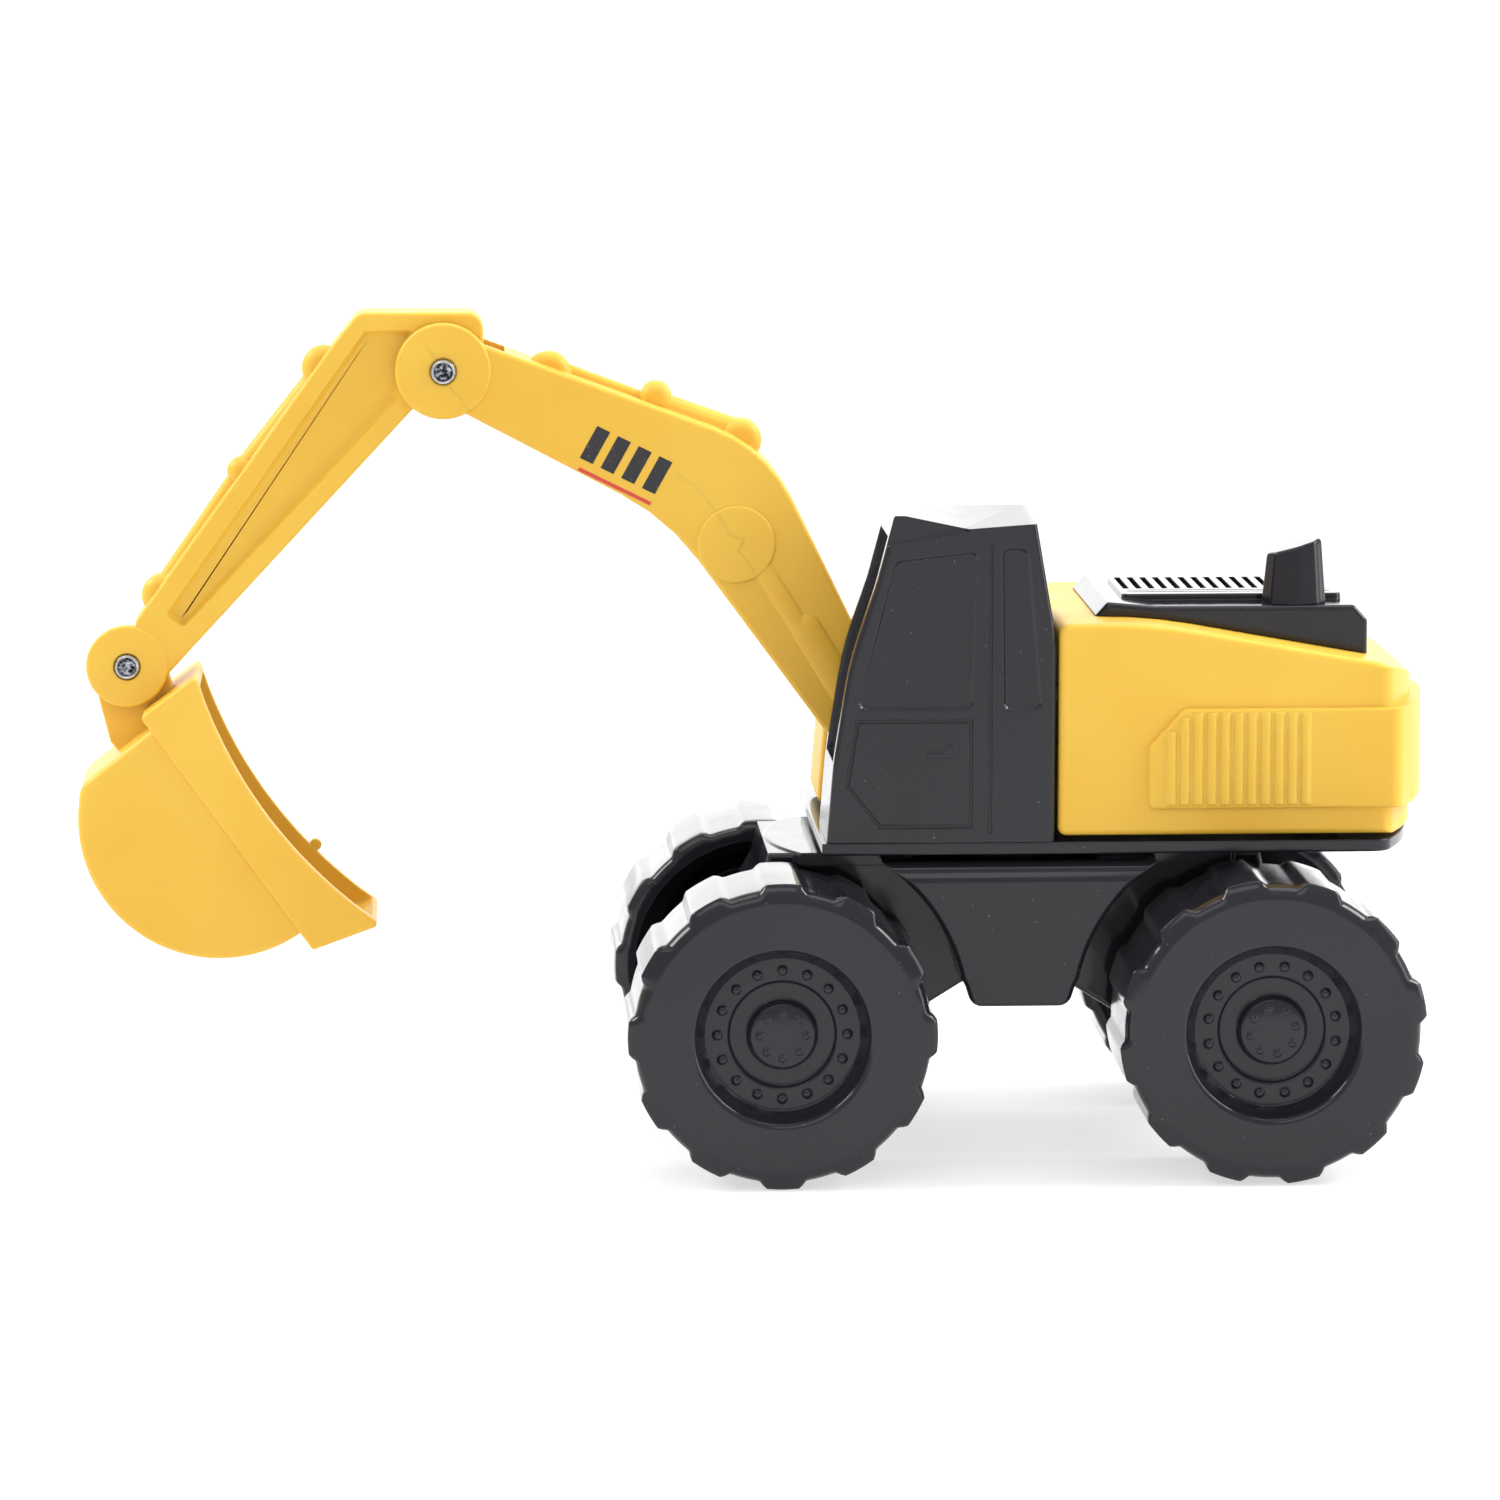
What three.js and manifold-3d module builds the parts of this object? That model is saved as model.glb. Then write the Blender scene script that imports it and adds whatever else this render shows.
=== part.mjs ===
// Toy wheeled excavator: a chassis on four wheels, a turning upper structure with cab and engine
// cover, and a three-piece digging arm. Millimetres, +Z up, -X towards the bucket, +Y the far side
// from the cab. Everything is drawn with the ground at z = 0 and then lowered as one group, so that
// the finished part has its origin in the middle of the chassis underside, on the swivel axis.

import * as THREE from 'three';
import { mergeVertices } from 'three/addons/utils/BufferGeometryUtils.js';
import Module from 'manifold-3d';

const wasm = await Module();
wasm.setup();

// ---------------------------------------------------------------- driving dimensions

const CLEARANCE = 0.3;
const WALL = 1.8;

const WHEEL_RADIUS = 28.5;
const WHEEL_WIDTH = 28;
const WHEEL_FACE_Y = 52;
const REAR_WHEEL_TURN = 12;
const AXLE_X = 45;
const AXLE_RADIUS = 1.5;
const AXLE_HALF_LENGTH = 43.7;
const LUG_COUNT = 12;
const LUG_HEIGHT = 1.2;

const BELLY_Z = 31.3;
const CARRIER_BOTTOM_Z = 23.5;
const CARRIER_HALF_WIDTH = 20;
const CHASSIS_TOP_Z = 57.9;
const CHASSIS_TOP_RADIUS = 46;
const CHASSIS_TOP_HALF_WIDTH = 22;
const SKIRT_HALF_WIDTH = 34;
const SKIRT_SHOULDER_Z = 55.6;
const WHEEL_ARCH_RADIUS = 34.9;
const CHASSIS_SCREW_X = 32;
const CHASSIS_SCREW_Y = 10;

const SWIVEL_BOSS_RADIUS = 8;
const DECK_BOTTOM_Z = 59;
const DECK_TOP_Z = 61.3;
const DECK_FRONT_X = -36.8;
const DECK_REAR_RADIUS = 75.5;
const TURRET_HALF_WIDTH = 33;

const BODY_BOTTOM_Z = 62.4;
const CAB_BOTTOM_Z = 61.6;
const BODY_FRONT_X = 6.9;
const BODY_REAR_RADIUS = 76;
const BAND_REAR_RADIUS = 78;
const BAND_HALF_WIDTH = 34.2;
const BAND_LOW_Z = 67.4;
const BAND_HIGH_Z = 86.1;
const RIB_COUNT = 11;
const RIB_PITCH = 2.5;
const RIB_FIRST_X = 27.6;
const SIDE_BOX_FRONT_X = -35.2;
const SIDE_BOX_TOP_Z = 79;

const CAB_INNER_Y = -9.2;
const COVER_HALF_WIDTH = 22;
const COVER_TOP_Z = 103.4;
const GRILLE_SLOT_COUNT = 12;
const GRILLE_SLOT_PITCH = 2.4;
const GRILLE_FIRST_X = 21.9;
const GRILLE_PANEL_X = [20.2, 61.8];
const EXHAUST = { x: 52.2, y: -17 };

const BOOM_PIVOT = { x: -19, z: 71.5 };
const STICK_PIVOT = { x: -105.9, z: 146.8 };
const BUCKET_PIVOT = { x: -165.2, z: 91.6 };
const ELBOW_DISC = { x: -51.4, z: 114.2 };
const BOOM_HALF_WIDTH = 8.5;
const BOOM_FORK_HALF_GAP = 6.2;
const BOOM_ROOT_HALF_WIDTH = 6;
const STICK_HALF_WIDTH = 5.9;
const STICK_FORK_HALF_GAP = 3.3;
const EAR_HALF_WIDTH = 3;
const BUCKET_HALF_WIDTH = 12.5;
const RIM_HALF_WIDTH = 13.5;
const PIN_RADIUS = 2;
const PIN_HEAD_RADIUS = 2.7;
const PIN_HEAD_HEIGHT = 0.8;

// ---------------------------------------------------------------- materials

const YELLOW = { color: 0xf5c353, roughness: 0.38, metalness: 0 };
const BLACK = { color: 0x2a2a2d, roughness: 0.22, metalness: 0 };
const STEEL = { color: 0xb9bcc0, roughness: 0.3, metalness: 1 };

// ---------------------------------------------------------------- outline helpers

/** One corner of an outline: a point and the radius it is rounded to. */
const corner = (u, v, radius = 0) => ({ u, v, radius });

/** Points along an arc about (cu, cv), both ends included. Angles are in degrees. */
function arc(cu, cv, radius, fromDeg, toDeg, steps) {
  const points = [];
  for (let i = 0; i <= steps; i += 1) {
    const angle = THREE.MathUtils.degToRad(fromDeg + ((toDeg - fromDeg) * i) / steps);
    points.push(new THREE.Vector2(cu + radius * Math.cos(angle), cv + radius * Math.sin(angle)));
  }
  return points;
}

const disc = (cu, cv, radius, steps = 24) => arc(cu, cv, radius, 0, 360, steps).slice(0, steps);

/** A closed outline through the corners, each rounded to its own radius. */
function rounded(corners) {
  const points = [];
  corners.forEach((here, i) => {
    const before = corners[(i + corners.length - 1) % corners.length];
    const after = corners[(i + 1) % corners.length];
    const at = new THREE.Vector2(here.u, here.v);
    if (!here.radius) {
      points.push(at);
      return;
    }
    const toBefore = new THREE.Vector2(before.u, before.v).sub(at);
    const toAfter = new THREE.Vector2(after.u, after.v).sub(at);
    const reach = Math.min(toBefore.length(), toAfter.length()) * 0.49;
    toBefore.normalize();
    toAfter.normalize();
    const half = Math.acos(THREE.MathUtils.clamp(toBefore.dot(toAfter), -1, 1)) / 2;
    const length = Math.min(here.radius / Math.tan(half), reach);
    const radius = length * Math.tan(half);
    const middle = toBefore.clone().add(toAfter).normalize();
    const centre = at.clone().addScaledVector(middle, radius / Math.sin(half));
    const start = at.clone().addScaledVector(toBefore, length).sub(centre);
    const end = at.clone().addScaledVector(toAfter, length).sub(centre);
    const turn = start.angle();
    let sweep = end.angle() - turn;
    if (sweep > Math.PI) sweep -= 2 * Math.PI;
    if (sweep < -Math.PI) sweep += 2 * Math.PI;
    const steps = Math.max(2, Math.round(Math.abs(sweep) / 0.5));
    for (let k = 0; k <= steps; k += 1) {
      const angle = turn + (sweep * k) / steps;
      const reachOut = new THREE.Vector2(Math.cos(angle), Math.sin(angle)).multiplyScalar(radius);
      points.push(reachOut.add(centre));
    }
  });
  return points;
}

/** The corners of an anticlockwise outline moved inwards by a distance. */
function inset(corners, distance) {
  return corners.map((here, i) => {
    const before = corners[(i + corners.length - 1) % corners.length];
    const after = corners[(i + 1) % corners.length];
    const a = new THREE.Vector2(here.u - before.u, here.v - before.v).normalize();
    const b = new THREE.Vector2(after.u - here.u, after.v - here.v).normalize();
    const normal = new THREE.Vector2(-a.y - b.y, a.x + b.x).normalize();
    const shift = distance / (normal.x * -a.y + normal.y * a.x);
    const radius = here.radius ? Math.max(here.radius - distance, 0.4) : 0;
    return corner(here.u + normal.x * shift, here.v + normal.y * shift, radius);
  });
}

/** The outline of a stadium: a bar with round ends from one point to another. */
function capsule(from, to, radius, steps = 6) {
  const heading = THREE.MathUtils.radToDeg(Math.atan2(to.z - from.z, to.x - from.x));
  return [
    ...arc(to.x, to.z, radius, heading - 90, heading + 90, steps),
    ...arc(from.x, from.z, radius, heading + 90, heading + 270, steps),
  ];
}

const rectangle = (uLow, uHigh, vLow, vHigh) => [
  new THREE.Vector2(uLow, vLow),
  new THREE.Vector2(uHigh, vLow),
  new THREE.Vector2(uHigh, vHigh),
  new THREE.Vector2(uLow, vHigh),
];

// ---------------------------------------------------------------- solid helpers

/** A closed manifold solid from a three.js geometry. */
function solid(geometry) {
  geometry.deleteAttribute('normal');
  geometry.deleteAttribute('uv');
  const merged = mergeVertices(geometry, 1e-4);
  return new wasm.Manifold(
    new wasm.Mesh({
      numProp: 3,
      vertProperties: new Float32Array(merged.attributes.position.array),
      triVerts: new Uint32Array(merged.index.array),
    }),
  );
}

/** A plate with its outline in plan (x, y), between two heights. */
function plateXY(points, low, high, bevel = 0) {
  const options = {
    depth: high - low - 2 * bevel,
    bevelEnabled: bevel > 0,
    bevelSize: bevel,
    bevelThickness: bevel,
    bevelOffset: -bevel,
    bevelSegments: 1,
  };
  const geometry = new THREE.ExtrudeGeometry(new THREE.Shape(points), options);
  return solid(geometry.translate(0, 0, low + bevel));
}

/** A plate with its outline in side view (x, z), between two values of y. */
function plateXZ(points, low, high, bevel = 0) {
  return plateXY(points, -high, -low, bevel).rotate([90, 0, 0]);
}

const block = (x, y, z) => plateXY(rectangle(x[0], x[1], y[0], y[1]), z[0], z[1]);

/** A rod across the vehicle, along y. */
const crossRod = (at, radius, low, high, steps = 12) => plateXZ(disc(at.x, at.z, radius, steps), low, high);

/** A rod along z. */
const uprightRod = (x, y, radius, low, high, steps = 12) => plateXY(disc(x, y, radius, steps), low, high);

/** A body turned about its own z axis from a profile of [radius, z] pairs. */
function turned(profile, steps) {
  const points = profile.map(([radius, height]) => new THREE.Vector2(radius, height));
  return solid(new THREE.LatheGeometry(points, steps)).rotate([90, 0, 0]);
}

/** A closed skin over a stack of rings, every ring having the same number of points. */
function ringStack(rings) {
  const count = rings[0].length;
  const positions = rings.flat().flatMap((point) => point);
  const faces = [];
  for (let level = 0; level + 1 < rings.length; level += 1) {
    for (let i = 0; i < count; i += 1) {
      const a = level * count + i;
      const b = level * count + ((i + 1) % count);
      faces.push(a, b, b + count, a, b + count, a + count);
    }
  }
  const top = (rings.length - 1) * count;
  for (let i = 1; i + 1 < count; i += 1) {
    faces.push(0, i + 1, i);
    faces.push(top, top + i, top + i + 1);
  }
  const geometry = new THREE.BufferGeometry();
  geometry.setAttribute('position', new THREE.Float32BufferAttribute(positions, 3));
  geometry.setIndex(faces);
  return solid(geometry);
}

const union = (solids) => solids.reduce((sum, item) => sum.add(item));

/** The same solid on both sides of the centre plane y = 0. */
const bothSides = (item) => item.add(item.mirror([0, 1, 0]));

const excavator = new THREE.Group();
excavator.position.z = -BELLY_Z;

/** Puts a finished solid into the assembly under its name, and returns the mesh. */
function place(name, body, look) {
  const mesh = body.getMesh();
  const geometry = new THREE.BufferGeometry();
  geometry.setAttribute('position', new THREE.Float32BufferAttribute(mesh.vertProperties, 3));
  geometry.setIndex(Array.from(mesh.triVerts));
  geometry.computeVertexNormals();
  const item = new THREE.Mesh(geometry, new THREE.MeshStandardMaterial(look));
  item.name = name;
  excavator.add(item);
  return item;
}

// ---------------------------------------------------------------- wheels and axles

/** One ring of the tread: every lug stands above the valleys between lugs. */
function treadRing(radius, y, lugHeight) {
  const points = [];
  for (let lug = 0; lug < LUG_COUNT; lug += 1) {
    const middle = -90 + (lug * 360) / LUG_COUNT;
    const stations = [[-6.5, 0], [6.5, 0], [9.5, lugHeight], [20.5, lugHeight]];
    stations.forEach(([offset, drop]) => {
      const angle = THREE.MathUtils.degToRad(middle + offset);
      const reach = radius - drop;
      points.push([reach * Math.cos(angle), -y, reach * Math.sin(angle)]);
    });
  }
  return points;
}

/** The bead-like bolt heads on a circle of the hub. */
function boltCircle(count, circleRadius, boltRadius, floor, height) {
  const bolts = [];
  for (let i = 0; i < count; i += 1) {
    const angle = (i * 2 * Math.PI) / count;
    const bolt = turned([[0, -0.4], [boltRadius, -0.4], [boltRadius * 0.6, height], [0, height]], 5);
    bolts.push(bolt.translate([circleRadius * Math.cos(angle), circleRadius * Math.sin(angle), floor]));
  }
  return bolts;
}

/** A wheel at the origin with its outer face towards -y. */
function wheelSolid() {
  const half = WHEEL_WIDTH / 2;
  const tread = ringStack([
    treadRing(WHEEL_RADIUS - 1.6, -half, LUG_HEIGHT * 0.6),
    treadRing(WHEEL_RADIUS, 1.2 - half, LUG_HEIGHT),
    treadRing(WHEEL_RADIUS, half - 1.5, LUG_HEIGHT),
    treadRing(WHEEL_RADIUS - 1, half - 0.5, LUG_HEIGHT * 0.7),
    treadRing(WHEEL_RADIUS - 2.8, half, 0),
  ]);
  const hubFloor = half - 4.8;
  const hubRecess = turned([
    [0, hubFloor + 2.2],
    [5.9, hubFloor + 2.2],
    [6.3, hubFloor],
    [9.6, hubFloor],
    [9.9, hubFloor + 0.8],
    [14.4, hubFloor + 0.8],
    [16.3, half + 1],
    [0, half + 1],
  ], 20);
  const backPocket = turned([
    [6, -half - 1],
    [24.3, -half - 1],
    [24.3, half - 3],
    [18.5, half - 3],
    [16.5, half - 7],
    [6, half - 7],
    [6, -half - 1],
  ], 20);
  const boreEnd = half - 8;
  const bore = turned([
    [0, -half - 1],
    [AXLE_RADIUS + 0.15, -half - 1],
    [AXLE_RADIUS + 0.2, boreEnd],
    [0, boreEnd],
  ], 10);
  const bolts = union([
    ...boltCircle(16, 11.9, 1, hubFloor + 0.8, 0.7),
    ...boltCircle(8, 4.2, 0.8, hubFloor + 2.2, 0.5),
  ]);
  const cuts = union([hubRecess, backPocket, bore]);
  return tread.subtract(cuts.rotate([90, 0, 0])).add(bolts.rotate([90, 0, 0]));
}

function buildRunningGear() {
  const nearWheel = wheelSolid();
  const farWheel = nearWheel.rotate([0, 0, 180]);
  const middleY = WHEEL_FACE_Y - WHEEL_WIDTH / 2;
  const ends = [['front', -AXLE_X, 0], ['rear', AXLE_X, REAR_WHEEL_TURN]];
  ends.forEach(([end, x, turn]) => {
    const near = nearWheel.rotate([0, -turn, 0]).translate([x, -middleY, WHEEL_RADIUS]);
    const far = farWheel.rotate([0, -turn, 0]).translate([x, middleY, WHEEL_RADIUS]);
    place(`wheel_${end}_left`, near, BLACK);
    place(`wheel_${end}_right`, far, BLACK);
    const rod = crossRod({ x, z: WHEEL_RADIUS }, AXLE_RADIUS, -AXLE_HALF_LENGTH, AXLE_HALF_LENGTH);
    place(`axle_${end}`, rod, STEEL);
  });
}

// ---------------------------------------------------------------- chassis

/** Half of the chassis silhouette, from the nose down to the belly; the other half mirrors it. */
const CARRIER_HALF = [
  corner(-46, CHASSIS_TOP_Z),
  corner(-47.3, 52, 6),
  corner(-54, 40, 6),
  corner(-54.5, CARRIER_BOTTOM_Z, 4),
  corner(-24.6, CARRIER_BOTTOM_Z, 3),
  corner(-12, BELLY_Z, 3),
];
const CARRIER = [
  ...CARRIER_HALF,
  ...CARRIER_HALF.map((c) => corner(-c.u, c.v, c.radius)).reverse(),
];

/** The skirt between the wheels: its ends run concentric with the wheels. */
function skirtOutline(inward, low) {
  const radius = WHEEL_ARCH_RADIUS + inward;
  const end = arc(-AXLE_X, WHEEL_RADIUS, radius, 50.5, 12, 8);
  const foot = new THREE.Vector2(-10.2 + inward * 1.1, BELLY_Z + 2.5);
  const toe = new THREE.Vector2(-8.4 + inward, low);
  const left = [...end, foot, toe];
  return [...left, ...left.map((p) => new THREE.Vector2(-p.x, p.y)).reverse()];
}

const screwSpots = [-1, 1].flatMap((i) => [-1, 1].map((j) => [i * CHASSIS_SCREW_X, j * CHASSIS_SCREW_Y]));

function chassisShell() {
  const y = CARRIER_HALF_WIDTH;
  const carrier = plateXZ(rounded(CARRIER), -y, y, 0.8);
  const carrierRoom = plateXZ(rounded(inset(CARRIER, 2)), -y + 2, y - 2);
  const carrierMouth = carrierRoom.translate([0, 0, -3]);

  const skirt = plateXZ(skirtOutline(0, BELLY_Z), -SKIRT_HALF_WIDTH, SKIRT_HALF_WIDTH, 0.8);
  const shoulder = plateXZ(skirtOutline(0, BELLY_Z), -SKIRT_HALF_WIDTH + 4, SKIRT_HALF_WIDTH - 4);
  const raised = shoulder.translate([0, 0, CHASSIS_TOP_Z - SKIRT_SHOULDER_Z]).intersect(
    block([-30, 30], [-40, 40], [50, CHASSIS_TOP_Z]),
  );
  const skirtRoom = plateXZ(skirtOutline(2, BELLY_Z - 1), -SKIRT_HALF_WIDTH + 2, SKIRT_HALF_WIDTH - 2)
    .intersect(block([-40, 40], [-40, 40], [BELLY_Z - 2, SKIRT_SHOULDER_Z - 2.5]));

  const ring = uprightRod(0, 0, CHASSIS_TOP_RADIUS, CHASSIS_TOP_Z - 2.5, CHASSIS_TOP_Z, 40);
  const top = ring.intersect(
    block([-60, 60], [-CHASSIS_TOP_HALF_WIDTH, CHASSIS_TOP_HALF_WIDTH], [50, 60]),
  );
  const bosses = screwSpots.map(([x, by]) => uprightRod(x, by, 3, 27, CHASSIS_TOP_Z - 1, 8));
  const pilots = screwSpots.map(([x, by]) => uprightRod(x, by, 1.6, 20, 40, 8));
  const swivelHole = uprightRod(0, 0, SWIVEL_BOSS_RADIUS + 2 * CLEARANCE, 50, 60, 20);
  const axleHoles = [-AXLE_X, AXLE_X].map((x) =>
    crossRod({ x, z: WHEEL_RADIUS }, AXLE_RADIUS + CLEARANCE, -y - 1, y + 1));

  const outside = union([carrier, skirt, raised, top]);
  return outside
    .subtract(union([carrierRoom, carrierMouth, skirtRoom]))
    .add(union(bosses))
    .subtract(union([...pilots, swivelHole, ...axleHoles]));
}

/** The bottom cover: a strip that follows the underside, and a cross piece under the skirt. */
function chassisBase() {
  const gap = CLEARANCE;
  const half = [
    corner(-52, CARRIER_BOTTOM_Z),
    corner(-24.6, CARRIER_BOTTOM_Z, 3),
    corner(-12, BELLY_Z, 3),
  ];
  const lower = [...half, ...half.map((c) => corner(-c.u, c.v, c.radius)).reverse()];
  const upper = lower.map((c) => corner(c.u, c.v + 2.2, c.radius)).reverse();
  const reach = CARRIER_HALF_WIDTH - 2 - gap;
  const strip = plateXZ(rounded([...lower, ...upper]), -reach, reach);
  const crossHalf = SKIRT_HALF_WIDTH - 2.4;
  const cross = block([-5.3, 5.3], [-crossHalf, crossHalf], [BELLY_Z, BELLY_Z + 2.2]);
  const holes = screwSpots.map(([x, y]) => uprightRod(x, y, 1.5 + gap, 20, 30, 8));
  const seats = screwSpots.map(([x, y]) => uprightRod(x, y, 2.9, 20, CARRIER_BOTTOM_Z + 1.2, 10));
  return strip.add(cross).subtract(union([...holes, ...seats]));
}

/** A pan-head screw pointing up, its head resting at a height. */
function screw(x, y, headLow, headHeight, headRadius, shankRadius, shankTop) {
  const shoulder = headLow + headHeight;
  const profile = [
    [0, headLow],
    [headRadius, headLow],
    [headRadius, shoulder],
    [shankRadius, shoulder],
    [shankRadius, shankTop - 1],
    [0, shankTop],
  ];
  return turned(profile, 10).translate([x, y, 0]);
}

function buildChassis() {
  place('chassis_shell', chassisShell(), BLACK);
  place('chassis_base', chassisBase(), BLACK);
  const names = ['front_left', 'front_right', 'rear_left', 'rear_right'];
  screwSpots.forEach(([x, y], i) => {
    const low = CARRIER_BOTTOM_Z + 0.1;
    place(`chassis_screw_${names[i]}`, screw(x, y, low, 1, 2.5, 1.3, 36), STEEL);
  });
}

// ---------------------------------------------------------------- turret: deck and swivel

/** A plan outline: straight front and sides, a rear arc about the swivel axis, turned rear corners. */
function planOutline(frontX, halfWidth, rearRadius, cornerRadius) {
  const reach = halfWidth - cornerRadius;
  const inner = rearRadius - cornerRadius;
  const turn = THREE.MathUtils.radToDeg(Math.asin(reach / inner));
  const x = Math.sqrt(inner * inner - reach * reach);
  return [
    new THREE.Vector2(frontX, -halfWidth),
    ...arc(x, -reach, cornerRadius, -90, -turn, 3),
    ...arc(0, 0, rearRadius, -turn, turn, 12).slice(1, -1),
    ...arc(x, reach, cornerRadius, turn, 90, 3),
    new THREE.Vector2(frontX, halfWidth),
  ];
}

const turretScrewSpots = [[-28, -27], [-28, 27], [60, -20], [60, 20]];

function turretDeck() {
  const outline = planOutline(DECK_FRONT_X, TURRET_HALF_WIDTH, DECK_REAR_RADIUS, 4);
  const plate = plateXY(outline, DECK_BOTTOM_Z, DECK_TOP_Z, 0.6);
  const boss = uprightRod(0, 0, SWIVEL_BOSS_RADIUS, CHASSIS_TOP_Z - 2.8, DECK_TOP_Z - 1, 20);
  const pad = uprightRod(0, 0, 18, CHASSIS_TOP_Z + CLEARANCE, DECK_TOP_Z - 1, 20)
    .subtract(uprightRod(0, 0, 13, 50, DECK_BOTTOM_Z, 20));
  const pilot = uprightRod(0, 0, 1.6, 50, DECK_TOP_Z - 1, 8);
  const holes = turretScrewSpots.map(([x, y]) => uprightRod(x, y, 1.7, 50, 70, 8));
  const seats = turretScrewSpots.map(([x, y]) => uprightRod(x, y, 2.9, 50, DECK_BOTTOM_Z + 1.1, 10));
  return union([plate, boss, pad]).subtract(union([pilot, ...holes, ...seats]));
}

function buildTurretBase() {
  place('turret_deck', turretDeck(), BLACK);
  const washer = uprightRod(0, 0, 11, 53.8, 54.9, 20).subtract(uprightRod(0, 0, 1.7, 50, 60, 8));
  place('swivel_washer', washer, STEEL);
  place('swivel_screw', screw(0, 0, 51.8, 1.9, 3.4, 1.3, DECK_TOP_Z - 1.3), STEEL);
  const names = ['front_left', 'front_right', 'rear_left', 'rear_right'];
  turretScrewSpots.forEach(([x, y], i) => {
    place(`turret_screw_${names[i]}`, screw(x, y, DECK_BOTTOM_Z + 0.1, 0.9, 2.5, 1.3, 70), STEEL);
  });
}

// ---------------------------------------------------------------- turret: yellow body

const BODY_SIDE = [
  corner(BODY_FRONT_X, BODY_BOTTOM_Z),
  corner(80, BODY_BOTTOM_Z),
  corner(80, 87.5),
  corner(76.2, 87.5, 1),
  corner(73.5, 91.2, 3),
  corner(66.5, 94.3, 10),
  corner(24, 101.9, 100),
  corner(BODY_FRONT_X, 101.8, 1.5),
];

const BAND_SIDE = [
  corner(23.5, BAND_LOW_Z, 0.8),
  corner(90, BAND_LOW_Z),
  corner(90, BAND_HIGH_Z),
  corner(30, BAND_HIGH_Z, 1),
  corner(23.5, 79, 1),
];

/** The tool box ahead of the engine bay, on the far side of the arm from the cab. */
const SIDE_BOX = [
  corner(SIDE_BOX_FRONT_X, BODY_BOTTOM_Z),
  corner(BODY_FRONT_X + 1, BODY_BOTTOM_Z),
  corner(BODY_FRONT_X + 1, SIDE_BOX_TOP_Z),
  corner(SIDE_BOX_FRONT_X + 1.4, SIDE_BOX_TOP_Z, 2.5),
];

/** Two cheeks that carry the arm's root pin, on a floor in front of the engine bay. */
function armBracket() {
  const low = BOOM_ROOT_HALF_WIDTH + CLEARANCE;
  const high = -CAB_INNER_Y - CLEARANCE;
  const { x, z } = BOOM_PIVOT;
  const outline = [
    new THREE.Vector2(x - 9, BODY_BOTTOM_Z),
    new THREE.Vector2(x + 12, BODY_BOTTOM_Z),
    ...arc(x, z, 6.5, 10, 180, 8),
  ];
  const cheek = plateXZ(outline, low, high);
  const floorX = [SIDE_BOX_FRONT_X + 2, BODY_FRONT_X + 1];
  const floor = block(floorX, [-high, high + 1], [BODY_BOTTOM_Z, BODY_BOTTOM_Z + 1.6]);
  return bothSides(cheek).add(floor);
}

function ventRibs() {
  const ribs = [];
  for (let i = 0; i < RIB_COUNT; i += 1) {
    const x = RIB_FIRST_X + i * RIB_PITCH;
    const high = Math.min(BAND_HIGH_Z - 1, 79 + (x - 23.5) * 1.05 - 1.6);
    const y = [BAND_HALF_WIDTH - 0.5, BAND_HALF_WIDTH + 0.5];
    ribs.push(block([x - 0.7, x + 0.7], y, [BAND_LOW_Z + 1, high]));
  }
  return bothSides(union(ribs));
}

function bodyShell() {
  const side = plateXZ(rounded(BODY_SIDE), -TURRET_HALF_WIDTH, TURRET_HALF_WIDTH, 1.4);
  const plan = plateXY(planOutline(BODY_FRONT_X - 1, TURRET_HALF_WIDTH, BODY_REAR_RADIUS, 3), 50, 120);
  const bandSide = plateXZ(rounded(BAND_SIDE), -BAND_HALF_WIDTH, BAND_HALF_WIDTH, 0.7);
  const bandPlan = plateXY(planOutline(0, BAND_HALF_WIDTH, BAND_REAR_RADIUS, 3), 50, 120);
  const boxLow = -CAB_INNER_Y;
  const box = plateXZ(rounded(SIDE_BOX), boxLow, TURRET_HALF_WIDTH, 1);

  const roomSide = inset(BODY_SIDE, WALL).map((c) => (c.v < 70 ? corner(c.u, 50) : c));
  const roomHalf = TURRET_HALF_WIDTH - WALL;
  const roomPlan = plateXY(planOutline(0, roomHalf, BODY_REAR_RADIUS - WALL, 2), 40, 120);
  const room = plateXZ(rounded(roomSide), -roomHalf, roomHalf).intersect(roomPlan);
  const boxRoomSide = inset(SIDE_BOX, WALL).map((c) => (c.v < 70 ? corner(c.u, 50) : c));
  const boxRoom = plateXZ(rounded(boxRoomSide), boxLow + WALL, TURRET_HALF_WIDTH - WALL);

  const bossSpots = turretScrewSpots.filter(([x, y]) => x > 0 || y > 0);
  const bosses = bossSpots.map(([x, y]) => uprightRod(x, y, 3.2, BODY_BOTTOM_Z, x > 0 ? 94 : 78, 8));
  const pilots = bossSpots.map(([x, y]) => uprightRod(x, y, 1.6, 50, 72, 8));
  const pegHoles = [24, 54].map((x) => uprightRod(x, 0, 2.4, 90, 110, 8));
  const pinHole = crossRod(BOOM_PIVOT, PIN_RADIUS + 0.15, -12, 9);

  return side
    .intersect(plan)
    .add(bandSide.intersect(bandPlan))
    .add(box)
    .subtract(room)
    .subtract(boxRoom)
    .add(armBracket())
    .add(ventRibs())
    .add(union(bosses))
    .subtract(union([...pilots, ...pegHoles, pinHole]));
}

// ---------------------------------------------------------------- turret: cab

const CAB_SIDE = [
  corner(-36.2, CAB_BOTTOM_Z),
  corner(6.3, CAB_BOTTOM_Z),
  corner(6.4, 99, 40),
  corner(2.6, 120.5, 1.6),
  corner(-23.4, 120.3, 1.6),
  corner(-26.9, 109.3, 40),
  corner(-31.8, 94.7, 60),
  corner(-34.8, 75.7, 60),
];

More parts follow.
